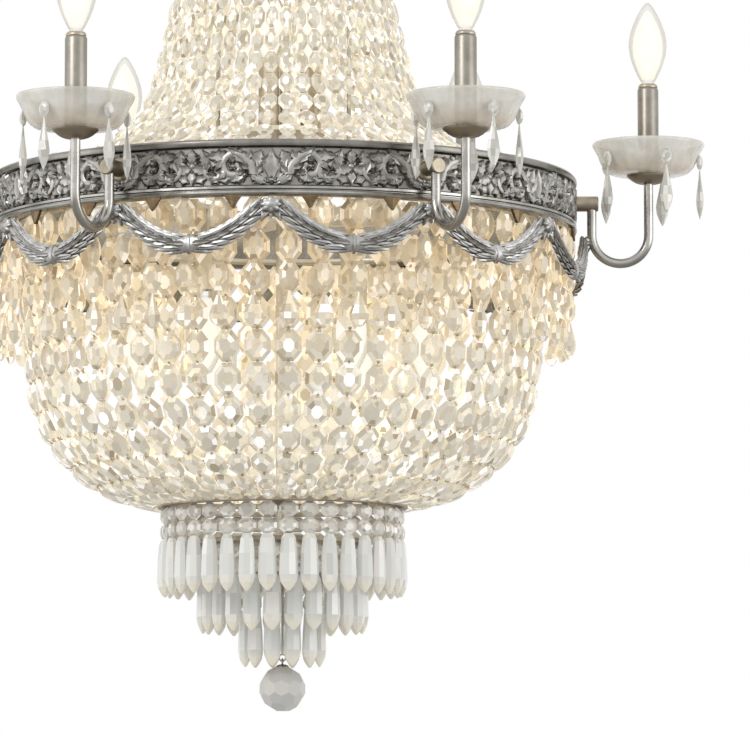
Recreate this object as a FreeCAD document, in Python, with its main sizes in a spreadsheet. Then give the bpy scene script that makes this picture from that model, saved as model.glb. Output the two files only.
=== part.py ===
import FreeCAD, Part
import math
import os
import Sketcher

# A hanging crystal chandelier: a band with arms and garlands, a tent of bead strands above it, a basket
# of bead strands below it, stepped tiers of prisms and a ball. Millimetres, +Z up. The origin is the
# centre of the top loop's bore, and every level below is measured down from there or from the band.

SIZES = {
    # top loop and stem
    "loop_bore_radius": 12.0,
    "loop_wall": 6.0,
    "loop_width": 7.0,
    "loop_neck_radius": 5.0,
    "loop_neck_length": 14.0,
    "stem_radius": 6.5,
    "stem_collar_radius": 10.0,
    "stem_collar_height": 5.0,
    "fit_gap": 0.05,
    "hang_gap": 0.3,
    # main band; band_drop is how far the band's lower edge lies below the loop
    "band_drop": 400.0,
    "band_radius": 269.0,
    "band_recess": 4.5,
    "band_wall": 5.5,
    "band_height": 49.0,
    "upper_rim_height": 7.0,
    "lower_rim_height": 9.0,
    "rim_round": 2.0,
    # spiders: flat bars on a hub
    "spider_bar_width": 12.0,
    "spider_thickness": 4.0,
    "spider_hub_radius": 18.0,
    "band_spider_level": 8.0,
    # crown
    "crown_level": 300.0,
    "crown_radius": 84.0,
    "crown_recess": 3.0,
    "crown_wall": 3.0,
    "crown_height": 34.0,
    "crown_rim_height": 6.0,
    # upper strands, from the crown to the band
    "tent_shoulder_radius": 115.0,
    "tent_shoulder_level": 149.0,
    "tent_foot_lap": 1.0,
    "tent_pitch": 22.5,
    "tent_bead_width": 15.0,
    "tent_bead_depth": 7.0,
    # basket strands, from the strand ring to the floor ring
    "strand_ring_inset": 26.0,
    "strand_ring_wire": 3.0,
    "basket_belly_inset": 14.0,
    "basket_belly_drop": 140.0,
    "basket_pitch": 28.6,
    "basket_bead_width": 20.0,
    "basket_bead_depth": 10.0,
    "floor_ring_radius": 114.0,
    "floor_ring_width": 12.0,
    "floor_drop": 247.3,
    # fringe under the band
    "fringe_inset": 6.5,
    "fringe_bead_width": 13.0,
    "fringe_bead_length": 26.9,
    "fringe_drop_width": 15.0,
    "fringe_drop_length": 31.0,
    # garland swags and their knots
    "swag_knot_drop": 5.0,
    "swag_sag": 37.0,
    "swag_end_height": 10.0,
    "swag_height": 17.0,
    "swag_depth": 9.0,
    "knot_radius": 8.0,
    "knot_length": 7.0,
    # stepped rings and their prisms
    "second_ring_radius": 77.5,
    "second_ring_drop": 284.5,
    "third_ring_radius": 39.5,
    "third_ring_drop": 314.8,
    "step_ring_width": 9.0,
    "prism_bead_width": 13.0,
    "prism_bead_length": 14.4,
    "prism_width": 13.5,
    "prism_length": 50.6,
    "centre_prism_radius": 12.0,
    "centre_prism_width": 10.0,
    # finial
    "hook_wire_radius": 0.8,
    "hook_ring_radius": 3.0,
    "ball_lap": 1.1,
    "ball_radius": 21.1,
    # arms
    "bracket_radius": 7.0,
    "bracket_plate_radius": 11.0,
    "bracket_plate_thickness": 4.0,
    "bracket_level": 27.8,
    "bracket_reach": 24.0,
    "bracket_edge": 1.0,
    "arm_leg_reach": 18.0,
    "arm_bend_radius": 26.0,
    "arm_tube_radius": 4.3,
    "arm_bend_level": -1.2,
    "pan_level": 46.2,
    # what stands on an arm, measured up from the drip pan's foot
    "pan_radius": 20.0,
    "pan_height": 8.0,
    "pan_foot_radius": 9.0,
    "pan_wall": 1.6,
    "nipple_radius": 3.4,
    "cup_radius": 51.5,
    "cup_height": 29.5,
    "cup_wall": 3.6,
    "cup_foot_radius": 30.0,
    "cup_throat_radius": 46.0,
    "cup_lip_rise": 9.0,
    "cup_bend": 24.0,
    "sleeve_radius": 9.6,
    "sleeve_wall": 1.7,
    "sleeve_top": 88.9,
    "holder_wall": 1.1,
    "bulb_base_radius": 5.9,
    "bulb_seat_depth": 17.0,
    "bulb_neck": 6.0,
    "bulb_neck_radius": 6.8,
    "bulb_radius": 17.5,
    "bulb_widest": 38.0,
    "bulb_height": 79.0,
    "bulb_shoulder_bend": 35.0,
    "bulb_flank_bend": 70.0,
    "bulb_tip_radius": 2.5,
    # pendants round a glass cup
    "pendant_inset": 4.5,
    "pendant_bead_width": 9.0,
    "pendant_bead_length": 14.0,
    "pendant_drop_width": 12.0,
    "pendant_drop_length": 45.5,
    # inner lamps
    "candle_plate_level": 92.0,
    "candle_plate_radius": 38.0,
    "candle_circle_radius": 25.0,
    "candle_sleeve_length": 58.0,
    "tie_rod_circle": 60.0,
    "tie_rod_radius": 2.0,
    "lamp_circle_radius": 130.0,
    "lamp_rod_length": 30.0,
    "lamp_rod_radius": 4.0,
    "lamp_cup_radius": 9.5,
    "lamp_cup_length": 42.0,
}

ARM_COUNT = 6
GARLAND_COUNT = 12
STRAND_COUNT = 54
STRAND_ROOM_SHARE = 0.94
FRINGE_BEAD_COUNT = 3
SWAG_STEP_COUNT = 4
PRISM_COUNTS = {"tier_1": 36, "tier_2": 24, "tier_3": 12, "centre": 4}
PRISM_START_ANGLES = {"tier_1": 5.0, "tier_2": 10.0, "tier_3": 17.0, "centre": 45.0}
PEAR_SHARES = (0.2, 0.68)
PRISM_SHARES = (0.3, 0.84)
PENDANT_ANGLES = (-144.0, -72.0, 0.0, 72.0, 144.0)
SWINGING_PENDANTS = {"left": -72.0, "right": 72.0}
Z = FreeCAD.Vector(0, 0, 1)


class Size:
    """A length that knows its value now and the expression that ties it to the sheet."""

    def __init__(self, value, text):
        self.value = value
        self.text = text

    def joined(self, sign, other, value):
        other = as_size(other)
        return Size(value(self.value, other.value), f"({self.text} {sign} {other.text})")

    def __add__(self, other):
        return self.joined("+", other, lambda a, b: a + b)

    def __sub__(self, other):
        return self.joined("-", other, lambda a, b: a - b)

    def __mul__(self, other):
        return self.joined("*", other, lambda a, b: a * b)

    def __truediv__(self, other):
        return self.joined("/", other, lambda a, b: a / b)

    def __radd__(self, other):
        return as_size(other) + self

    def __rsub__(self, other):
        return as_size(other) - self

    def __rmul__(self, other):
        return as_size(other) * self

    def __neg__(self):
        return as_size(0) - self


def as_size(number):
    return number if isinstance(number, Size) else Size(float(number), repr(float(number)))


class Sizes:
    """The sheet's aliases as sizes: sizes.band_radius and so on."""

    def __init__(self, sheet):
        self.sheet = sheet

    def __getattr__(self, alias):
        return Size(float(getattr(self.sheet, alias)), f"Sizes.{alias}")


def make_sheet(doc):
    sheet = doc.addObject("Spreadsheet::Sheet", "Sizes")
    for row, (alias, value) in enumerate(SIZES.items(), start=1):
        sheet.set(f"A{row}", str(value))
        sheet.setAlias(f"A{row}", alias)
    doc.recompute()
    return sheet


doc = FreeCAD.newDocument("chandelier")
s = Sizes(make_sheet(doc))
nodes = {}


# ---- sketches and bodies ----------------------------------------------------------------------------


def origin_plane(body, role):
    return next(plane for plane in body.Origin.OriginFeatures if plane.Role == role)


def new_sketch(body, role, name):
    sketch = body.newObject("Sketcher::SketchObject", name)
    sketch.AttachmentSupport = [(origin_plane(body, role), "")]
    sketch.MapMode = "FlatFace"
    return sketch


def arc_between(start, end, bend):
    """The arc of radius |bend| from start to end that turns left for a positive bend."""
    middle = (start + end) * 0.5
    chord = end - start
    left = FreeCAD.Vector(-chord.y, chord.x, 0).normalize()
    radius = abs(bend)
    side = 1 if bend > 0 else -1
    apart = math.sqrt(max(radius**2 - (chord.Length / 2) ** 2, 0))
    centre = middle + left * side * apart
    crown = centre - left * side * radius
    return Part.ArcOfCircle(start, crown, end)


def pin_point(sketch, geometry, point, across, along):
    """Hold one end of a line or arc at (across, along) from the sketch's origin."""
    for kind, place, axis in (("DistanceX", across, -2), ("DistanceY", along, -1)):
        if place.text == "0.0":
            sketch.addConstraint(Sketcher.Constraint("PointOnObject", geometry, point, axis))
        else:
            row = sketch.addConstraint(Sketcher.Constraint(kind, -1, 1, geometry, point, place.value))
            sketch.setExpression(f"Constraints[{row}]", place.text)


def outline(sketch, corners):
    """A closed outline of lines, and of arcs where a corner gives a bend for the side that follows."""
    corners = [tuple(as_size(part) for part in corner) for corner in corners]
    spots = [FreeCAD.Vector(corner[0].value, corner[1].value, 0) for corner in corners]
    count = len(corners)
    first_end = []
    for index, corner in enumerate(corners):
        start, end = spots[index], spots[(index + 1) % count]
        bend = corner[2].value if len(corner) > 2 else 0
        side = arc_between(start, end, bend) if bend else Part.LineSegment(start, end)
        sketch.addGeometry(side, False)
        first_end.append(2 if bend < 0 else 1)
    for index in range(count):
        after = (index + 1) % count
        last_end = 3 - first_end[index]
        sketch.addConstraint(Sketcher.Constraint("Coincident", index, last_end, after, first_end[after]))
    for index, corner in enumerate(corners):
        pin_point(sketch, index, first_end[index], corner[0], corner[1])
        if len(corner) > 2:
            bend = abs(corner[2].value)
            row = sketch.addConstraint(Sketcher.Constraint("Radius", index, bend))
            text = corner[2].text if corner[2].value > 0 else (-corner[2]).text
            sketch.setExpression(f"Constraints[{row}]", text)


def circle(sketch, radius, across=0, along=0):
    radius, across, along = as_size(radius), as_size(across), as_size(along)
    centre = FreeCAD.Vector(across.value, along.value, 0)
    index = sketch.addGeometry(Part.Circle(centre, FreeCAD.Vector(0, 0, 1), radius.value), False)
    row = sketch.addConstraint(Sketcher.Constraint("Radius", index, radius.value))
    sketch.setExpression(f"Constraints[{row}]", radius.text)
    pin_point(sketch, index, 3, across, along)


def place(item, x=0, y=0, z=0, rotation=None):
    item.Placement = FreeCAD.Placement(FreeCAD.Vector(0, 0, 0), rotation or FreeCAD.Rotation())
    for letter, length in (("x", x), ("y", y), ("z", z)):
        length = as_size(length)
        item.setExpression(f"Placement.Base.{letter}", length.text)


def new_body(name):
    return doc.addObject("PartDesign::Body", name)


def lathe(name, corners, z, x=0, rotation=None):
    """A body turned about its own Z axis from a half section of (radius, height[, bend]) corners."""
    body = new_body(name)
    sketch = new_sketch(body, "XZ_Plane", f"{name}_section")
    outline(sketch, corners)
    turned = body.newObject("PartDesign::Revolution", f"{name}_turned")
    turned.Profile = sketch
    turned.ReferenceAxis = (sketch, ["V_Axis"])
    turned.Angle = 360
    place(body, x=x, z=z, rotation=rotation)
    return body


def pad(body, sketch, thickness, middle=False):
    padded = body.newObject("PartDesign::Pad", f"{sketch.Name}_pad")
    padded.Profile = sketch
    padded.setExpression("Length", as_size(thickness).text)
    padded.Midplane = middle
    return padded


def node(label, item):
    item.Label = label
    nodes[label] = item
    return item


def rounded(master, count, start=0.0):
    """Copies of a master piece at equal steps round the axis, as separate solids."""
    copies = []
    for index in range(count):
        turn = FreeCAD.Placement(FreeCAD.Vector(), FreeCAD.Rotation(Z, start + index * 360.0 / count))
        shape = master.copy()
        shape.Placement = turn.multiply(shape.Placement)
        copies.append(shape)
    return copies


def group(label, shapes):
    """A node made of separate solids."""
    feature = doc.addObject("Part::Feature", label)
    feature.Shape = Part.makeCompound(shapes)
    return node(label, feature)


def band_level(rise):
    """A height measured from the band's lower edge, in the part's frame."""
    return rise - s.band_drop


# ---- faceted crystals -------------------------------------------------------------------------------


def faceted(rings, sides):
    """A cut crystal along Z. Each ring is (height, half width across, half depth outwards), and a ring
    of no width is a point. The sides' corners start across, along X."""
    rows = []
    for height, half_width, half_depth in rings:
        if half_width == 0:
            rows.append([FreeCAD.Vector(0, 0, height)])
            continue
        corners = [2 * math.pi * step / sides for step in range(sides)]
        rows.append(
            [FreeCAD.Vector(half_width * math.cos(a), half_depth * math.sin(a), height) for a in corners]
        )
    faces = []
    for low, high in zip(rows, rows[1:]):
        for step in range(sides):
            after = (step + 1) % sides
            around = [low[step % len(low)], low[after % len(low)]]
            around += [high[after % len(high)], high[step % len(high)]]
            loop = [p for k, p in enumerate(around) if p != around[k - 1]]
            for third in range(2, len(loop)):
                faces.append(Part.Face(Part.makePolygon([loop[0], loop[third - 1], loop[third], loop[0]])))
    solid = Part.makeSolid(Part.makeShell(faces))
    if solid.Volume < 0:
        solid.reverse()
    return solid


def bead(width, depth, length, sides=4):
    half = length / 2
    return faceted([(-half, 0, 0), (0, width / 2, depth / 2), (half, 0, 0)], sides)


def drop(width, depth, length, shares, sides=4):
    """A drop that hangs from its own origin: narrow at the shoulder, widest at the belly."""
    shoulder, belly = shares
    rings = [
        (-length, 0, 0),
        (-length * belly, width / 2, depth / 2),
        (-length * shoulder, width / 4, depth / 4),
        (0, 0, 0),
    ]
    return faceted(rings, sides)


def put(shape, radius, height, lean=0.0):
    """A copy at a radius along +X, its width across the radius, leaning outwards by an angle."""
    copy = shape.copy()
    across = FreeCAD.Rotation(Z, 90)
    lean = FreeCAD.Rotation(FreeCAD.Vector(0, 1, 0), lean)
    copy.Placement = FreeCAD.Placement(FreeCAD.Vector(radius, 0, height), lean.multiply(across))
    return copy


def strand(path, pitch, gap, width, depth, count, sides=4):
    """One strand of beads along a path in the XZ plane: tip to tip with a gap, and narrow enough to
    clear the next strand."""
    beads = []
    total = sum(edge.Length for edge in path)
    number = int(total / pitch)
    step = total / number
    for index in range(number):
        distance = (index + 0.5) * step
        edge = path[0]
        for edge in path:
            if distance <= edge.Length:
                break
            distance -= edge.Length
        parameter = edge.getParameterByLength(distance)
        spot = edge.valueAt(parameter)
        along = edge.tangentAt(parameter)
        room = 2 * math.pi * (spot.x - depth / 2) / count
        fitted = min(width, STRAND_ROOM_SHARE * room)
        lean = math.degrees(math.atan2(along.x, along.z))
        beads.append(put(bead(fitted, depth, step - gap, sides), spot.x, spot.z, lean))
    return beads


def line_then_arc(start, shoulder, end):
    """A straight run from start to the shoulder, then the arc that leaves it smoothly for the end."""
    run = Part.LineSegment(start, shoulder)
    along = (shoulder - start).normalize()
    side = FreeCAD.Vector(along.z, 0, -along.x)
    chord = end - shoulder
    if chord.dot(side) < 0:
        side = -side
    radius = chord.Length**2 / (2 * chord.dot(side))
    centre = shoulder + side * radius
    crown = centre + ((shoulder - centre) + (end - centre)).normalize() * radius
    return [run.toShape(), Part.Arc(shoulder, crown, end).toShape()]


# ---- loop, stem and rings ---------------------------------------------------------------------------


def make_top_loop():
    body = new_body("loop_body")
    ring = new_sketch(body, "XZ_Plane", "loop_ring")
    circle(ring, s.loop_bore_radius + s.loop_wall)
    circle(ring, s.loop_bore_radius)
    pad(body, ring, s.loop_width, middle=True)
    neck = new_sketch(body, "XZ_Plane", "loop_neck")
    outer = s.loop_bore_radius + s.loop_wall
    low = -outer - s.loop_neck_length
    high = -outer + s.loop_wall / 2
    outline(neck, [(0, low), (s.loop_neck_radius, low), (s.loop_neck_radius, high), (0, high)])
    turned = body.newObject("PartDesign::Revolution", "loop_neck_turned")
    turned.Profile = neck
    turned.ReferenceAxis = (neck, ["V_Axis"])
    turned.Angle = 360
    place(body)
    return node("top_loop", body)


def stem_top():
    return -(s.loop_bore_radius + s.loop_wall + s.loop_neck_length)


def make_centre_stem():
    foot = band_level(-s.third_ring_drop) - s.stem_collar_height
    length = stem_top() - foot
    collar = s.stem_collar_height
    corners = [
        (0, 0),
        (s.stem_collar_radius, 0),
        (s.stem_collar_radius, collar),
        (s.stem_radius, collar),
        (s.stem_radius, length - collar * 2),
        (s.stem_collar_radius, length - collar),
        (s.stem_collar_radius, length),
        (0, length),
    ]
    return node("centre_stem", lathe("stem_body", corners, foot))


def band_corners(outer, recess, wall, height, upper, lower, edge):
    """The half section of a band: two rounded rims that stand proud of the frieze between them."""
    face = outer - recess
    inner = face - wall
    return [
        (inner, 0),
        (outer - edge, 0, edge),
        (outer, edge),
        (outer, lower - edge, edge),
        (outer - edge, lower),
        (face, lower),
        (face, height - upper),
        (outer - edge, height - upper, edge),
        (outer, height - upper + edge),
        (outer, height - edge, edge),
        (outer - edge, height),
        (inner, height),
    ]


def make_main_band():
    corners = band_corners(
        s.band_radius,
        s.band_recess,
        s.band_wall,
        s.band_height,
        s.upper_rim_height,
        s.lower_rim_height,
        s.rim_round,
    )
    return node("main_band", lathe("band_body", corners, band_level(0)))


def make_crown_ring():
    rim = s.crown_rim_height
    corners = band_corners(
        s.crown_radius, s.crown_recess, s.crown_wall, s.crown_height, rim, rim, s.rim_round / 2
    )
    return node("crown_ring", lathe("crown_body", corners, band_level(s.crown_level)))


def band_inner_radius():
    return s.band_radius - s.band_recess - s.band_wall


def crown_inner_radius():
    return s.crown_radius - s.crown_recess - s.crown_wall


def spider(label, reach, bars, level, rim_width=None):
    """A stamped spider: a hub bored for the stem, flat bars, and a rim where the reach has one."""
    body = new_body(f"{label}_body")
    hub = new_sketch(body, "XY_Plane", f"{label}_hub")
    circle(hub, s.spider_hub_radius)
    circle(hub, s.stem_radius + s.fit_gap)
    pad(body, hub, s.spider_thickness)
    if rim_width is not None:
        rim = new_sketch(body, "XY_Plane", f"{label}_rim")
        circle(rim, reach)
        circle(rim, reach - rim_width)
        rim_pad = pad(body, rim, s.spider_thickness)
        rim_pad.Refine = True
        reach = reach - rim_width / 2
    bar = new_sketch(body, "XY_Plane", f"{label}_bar")
    root = s.spider_hub_radius - s.spider_bar_width / 2
    half = s.spider_bar_width / 2
    outline(bar, [(root, -half), (reach, -half), (reach, half), (root, half)])
    bar_pad = pad(body, bar, s.spider_thickness)
    pattern = body.newObject("PartDesign::PolarPattern", f"{label}_bars")
    pattern.Originals = [bar_pad]
    pattern.Axis = (hub, ["N_Axis"])
    pattern.Angle = 360
    pattern.Occurrences = bars
    body.Tip = pattern
    place(body, z=level)
    return node(label, body)


def make_spiders():
    crown_floor = band_level(s.crown_level + s.crown_rim_height)
    spider("crown_spider", crown_inner_radius() - s.hang_gap, 4, crown_floor)
    spider("band_spider", band_inner_radius() - s.hang_gap, ARM_COUNT, band_level(s.band_spider_level))
    floor = band_level(-s.floor_drop)
    spider("floor_ring", s.floor_ring_radius, 4, floor - s.spider_thickness, s.floor_ring_width)
    second = band_level(-s.second_ring_drop)
    spider("second_ring", s.second_ring_radius, 4, second, s.step_ring_width)
    third = band_level(-s.third_ring_drop)
    spider("third_ring", s.third_ring_radius, 4, third, s.step_ring_width)


def strand_ring_radius():
    return s.band_radius - s.strand_ring_inset


def make_strand_ring():
    ring = doc.addObject("Part::Torus", "strand_ring_wire")
    ring.setExpression("Radius1", strand_ring_radius().text)
    ring.setExpression("Radius2", s.strand_ring_wire.text)
    place(ring, z=band_level(s.band_spider_level - s.strand_ring_wire))
    return node("strand_ring", ring)


# ---- strands and prisms -----------------------------------------------------------------------------


def vector(radius, height):
    return FreeCAD.Vector(as_size(radius).value, 0, as_size(height).value)


def make_upper_strands():
    depth = s.tent_bead_depth.value
    top = vector(crown_inner_radius() + s.crown_wall / 2, band_level(s.crown_level) - s.hang_gap)
    shoulder = vector(s.tent_shoulder_radius, band_level(s.tent_shoulder_level))
    tip_rise = s.tent_foot_lap * s.tent_bead_depth / s.tent_pitch
    foot_level = s.band_height + s.hang_gap * 2 + tip_rise
    foot = vector(band_inner_radius() + s.tent_foot_lap, band_level(foot_level))
    path = line_then_arc(top, shoulder, foot)
    gap = s.hang_gap.value
    one = strand(path, s.tent_pitch.value, gap, s.tent_bead_width.value, depth, STRAND_COUNT, sides=3)
    shapes = [copy for piece in one for copy in rounded(piece, STRAND_COUNT)]
    return group("upper_strands", shapes)


def make_basket_strands():
    under_ring = band_level(s.band_spider_level - s.strand_ring_wire * 2) - s.hang_gap
    top = vector(strand_ring_radius(), under_ring)
    belly = vector(strand_ring_radius() - s.basket_belly_inset, band_level(-s.basket_belly_drop))
    foot = vector(s.floor_ring_radius + s.hang_gap, band_level(-s.floor_drop) - s.spider_thickness / 2)
    path = line_then_arc(top, belly, foot)
    one = strand(
        path,
        s.basket_pitch.value,
        s.hang_gap.value,
        s.basket_bead_width.value,
        s.basket_bead_depth.value,
        STRAND_COUNT,
    )
    shapes = [copy for piece in one for copy in rounded(piece, STRAND_COUNT)]
    return group("basket_strands", shapes)


def make_fringe():
    radius = s.band_radius.value - s.fringe_inset.value
    gap = s.hang_gap.value
    length = s.fringe_bead_length.value
    width = s.fringe_bead_width.value
    level = band_level(0).value
    beads = []
    for _ in range(FRINGE_BEAD_COUNT):
        level -= gap
        beads.append(put(bead(width, width / 2, length), radius, level - length / 2))
        level -= length
    drop_width = s.fringe_drop_width.value
    pear = drop(drop_width, drop_width / 2, s.fringe_drop_length.value, PEAR_SHARES)
    group("fringe_beads", [copy for piece in beads for copy in rounded(piece, STRAND_COUNT)])
    group("fringe_drops", rounded(put(pear, radius, level - gap), STRAND_COUNT))


def tier_radius(tier):
    """The radius on which a tier's prisms hang: the middle of its ring, or the centre prisms' circle."""
    return {
        "tier_1": s.floor_ring_radius - s.floor_ring_width / 2,
        "tier_2": s.second_ring_radius - s.step_ring_width / 2,
        "tier_3": s.third_ring_radius - s.step_ring_width / 2,
        "centre": s.centre_prism_radius,
    }[tier].value


def prism_string(tier, drop_level, width, bead_count=2):
    """Strings of small beads and a long prism, hung under a ring whose underside is at a level."""
    gap = s.hang_gap.value
    length = s.prism_bead_length.value
    small = bead(min(s.prism_bead_width.value, width), width / 2, length)
    long = drop(width, width * 0.7, s.prism_length.value, PRISM_SHARES)
    radius = tier_radius(tier)
    level = band_level(-drop_level).value
    one = []
    for _ in range(bead_count):
        level -= gap
        one.append(put(small, radius, level - length / 2))
        level -= length
    one.append(put(long, radius, level - gap))
    start = PRISM_START_ANGLES[tier]
    return [copy for piece in one for copy in rounded(piece, PRISM_COUNTS[tier], start)]


def prism_string_length():
    """From a ring's underside to the tips of the prisms that hang from it."""
    return s.hang_gap * 3 + s.prism_bead_length * 2 + s.prism_length


def make_prisms():
    width = s.prism_width.value
    group("tier_1_prisms", prism_string("tier_1", s.floor_drop + s.spider_thickness, width))
    group("tier_2_prisms", prism_string("tier_2", s.second_ring_drop, width))
    group("tier_3_prisms", prism_string("tier_3", s.third_ring_drop, width))
    centre = prism_string("centre", s.third_ring_drop, s.centre_prism_width.value, 1)
    group("centre_prisms", centre)


# ---- garlands ---------------------------------------------------------------------------------------


def make_garlands():
    radius = s.band_radius.value + s.swag_depth.value / 2
    knot = band_level(-s.swag_knot_drop).value
    depth = s.swag_depth.value
    half_turn = math.pi / GARLAND_COUNT - (s.knot_radius.value + s.hang_gap.value) / radius
    stations = []
    for step in range(-SWAG_STEP_COUNT, SWAG_STEP_COUNT + 1):
        share = step / SWAG_STEP_COUNT
        angle = half_turn * share
        sag = s.swag_sag.value * (1 - share**2)
        swell = 1 - share**2
        height = s.swag_end_height.value + (s.swag_height.value - s.swag_end_height.value) * swell
        spot = FreeCAD.Vector(radius * math.cos(angle), radius * math.sin(angle), knot - sag)
        outward = FreeCAD.Vector(math.cos(angle), math.sin(angle), 0)
        big, small = (Z, outward) if height > depth else (outward, Z)
        section = Part.Ellipse(
            spot + big * (max(height, depth) / 2),
            spot + small * (min(height, depth) / 2),
            spot,
        )
        stations.append(Part.Wire([section.toShape()]))
    swag = Part.makeLoft(stations, True, False)
    group("garland_swags", rounded(swag, GARLAND_COUNT, 180.0 / GARLAND_COUNT))


def make_knots():
    half = s.knot_length / 2
    corners = [
        (0, 0),
        (s.knot_radius, 0),
        (s.knot_radius, half, s.knot_radius),
        (s.knot_radius / 2, s.knot_length),
        (0, s.knot_length),
    ]
    out = FreeCAD.Rotation(FreeCAD.Vector(0, 1, 0), 90)
    knot = lathe("knot_body", corners, band_level(-s.swag_knot_drop), x=s.band_radius, rotation=out)
    doc.recompute()
    group("garland_knots", rounded(knot.Shape, GARLAND_COUNT))


# ---- arms -------------------------------------------------------------------------------------------


def candle_reach():
    """The radius at which an arm's candle stands."""
    return s.band_radius + s.arm_leg_reach - s.band_recess + s.arm_bend_radius * 2


def make_arm_brackets():
    face = s.band_radius - s.band_recess + s.fit_gap
    corners = [
        (0, 0),
        (s.bracket_plate_radius, 0),
        (s.bracket_plate_radius, s.bracket_plate_thickness / 2, s.bracket_plate_thickness),
        (s.bracket_radius, s.bracket_plate_thickness),
        (s.bracket_radius, s.bracket_reach - s.bracket_edge),
        (s.bracket_radius - s.bracket_edge, s.bracket_reach),
        (0, s.bracket_reach),
    ]
    out = FreeCAD.Rotation(FreeCAD.Vector(0, 1, 0), 90)
    stub = lathe("bracket_body", corners, band_level(s.bracket_level), x=face, rotation=out)
    hole = doc.addObject("Part::Cylinder", "bracket_hole")
    hole.setExpression("Radius", (s.arm_tube_radius + s.fit_gap).text)
    hole.setExpression("Height", (s.bracket_radius * 2).text)
    leg = s.band_radius - s.band_recess + s.arm_leg_reach
    place(hole, x=leg, z=band_level(s.bracket_level - s.bracket_radius * 2))
    drilled = doc.addObject("Part::Cut", "bracket_drilled")
    drilled.Base = stub
    drilled.Tool = hole
    doc.recompute()
    group("arm_brackets", rounded(drilled.Shape, ARM_COUNT))


def make_arm_tubes():
    leg = s.band_radius - s.band_recess + s.arm_leg_reach
    candle = candle_reach()
    body = new_body("arm_body")
    path = new_sketch(body, "XZ_Plane", "arm_path")
    inner_top = band_level(s.bracket_level)
    bend = band_level(s.arm_bend_level)
    outer_top = band_level(s.pan_level)
    spots = [(leg, inner_top), (leg, bend), (candle, bend), (candle, outer_top)]
    points = [FreeCAD.Vector(x.value, z.value, 0) for x, z in spots]
    lowest = (points[1] + points[2]) * 0.5 - FreeCAD.Vector(0, s.arm_bend_radius.value, 0)
    path.addGeometry(Part.LineSegment(points[0], points[1]), False)
    path.addGeometry(Part.ArcOfCircle(points[1], lowest, points[2]), False)
    path.addGeometry(Part.LineSegment(points[2], points[3]), False)
    path.addConstraint(Sketcher.Constraint("Tangent", 0, 2, 1, 1))
    path.addConstraint(Sketcher.Constraint("Tangent", 1, 2, 2, 1))
    pin_point(path, 0, 1, *spots[0])
    pin_point(path, 0, 2, *spots[1])
    pin_point(path, 2, 2, *spots[3])
    path.addConstraint(Sketcher.Constraint("Vertical", 2))
    ring = new_sketch(body, "XY_Plane", "arm_section")
    ring.setExpression("AttachmentOffset.Base.z", inner_top.text)
    circle(ring, s.arm_tube_radius, leg)
    pipe = body.newObject("PartDesign::AdditivePipe", "arm_pipe")
    pipe.Profile = ring
    pipe.Spine = path
    place(body)
    doc.recompute()
    group("arm_tubes", rounded(body.Shape, ARM_COUNT))


def make_drip_pans():
    hole = s.nipple_radius + s.fit_gap
    foot = s.pan_foot_radius
    hub = s.nipple_radius + s.pan_wall
    dish_bend = s.pan_radius
    corners = [
        (hole, 0),
        (foot, 0, dish_bend),
        (s.pan_radius, s.pan_height - s.pan_wall),
        (s.pan_radius, s.pan_height),
        (s.pan_radius - s.pan_wall, s.pan_height, -(dish_bend - s.pan_wall)),
        (foot, s.pan_wall),
        (hub, s.pan_wall),
        (hub, s.pan_height),
        (hole, s.pan_height),
    ]
    pan = lathe("pan_body", corners, band_level(s.pan_level), x=candle_reach())
    doc.recompute()
    group("drip_pans", rounded(pan.Shape, ARM_COUNT))


def make_glass_cups():
    hole = s.nipple_radius + s.fit_gap
    throat = s.cup_throat_radius
    wall = s.cup_wall
    throat_level = s.cup_height - s.cup_lip_rise - wall
    corners = [
        (hole, 0),
        (s.cup_foot_radius, 0, s.cup_bend),
        (throat, throat_level),
        (s.cup_radius, s.cup_height - wall),
        (s.cup_radius, s.cup_height),
        (s.cup_radius - wall, s.cup_height),
        (throat - wall, throat_level, -(s.cup_bend - wall / 2)),
        (s.cup_foot_radius, wall),
        (hole, wall),
    ]
    level = band_level(s.pan_level + s.pan_height)
    cup = lathe("cup_body", corners, level, x=candle_reach())
    doc.recompute()
    group("glass_cups", rounded(cup.Shape, ARM_COUNT))


def holder_radius():
    return s.bulb_base_radius + s.fit_gap * 4 + s.holder_wall


def sleeve_foot():
    """The height of a candle sleeve's foot above the drip pan's foot: the glass cup's floor."""
    return s.pan_height + s.cup_wall


def sleeve_corners(length):
    inner = s.sleeve_radius - s.sleeve_wall
    return [
        (inner, 0),
        (s.sleeve_radius, 0),
        (s.sleeve_radius, length),
        (inner, length),
    ]


def holder_corners(low, seat, top):
    """A lamp holder on its threaded nipple, bored for a bulb's base down to the seat."""
    bore = s.bulb_base_radius + s.fit_gap * 4
    return [
        (0, low),
        (s.nipple_radius, low),
        (s.nipple_radius, seat - s.holder_wall * 2),
        (holder_radius(), seat - s.holder_wall * 2),
        (holder_radius(), top),
        (bore, top),
        (bore, seat),
        (0, seat),
    ]


def bulb_corners():
    """A candle bulb from the foot of its base: shell, neck and a flame-shaped envelope."""
    seat = s.bulb_seat_depth
    neck = seat + s.bulb_neck
    widest = seat + s.bulb_widest
    top = seat + s.bulb_height
    tip = s.bulb_tip_radius
    return [
        (0, 0),
        (s.bulb_base_radius, 0),
        (s.bulb_base_radius, neck),
        (s.bulb_neck_radius, neck, s.bulb_shoulder_bend),
        (s.bulb_radius, widest, s.bulb_flank_bend),
        (tip, top - tip),
        (tip / 2, top),
        (0, top),
    ]


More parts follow.
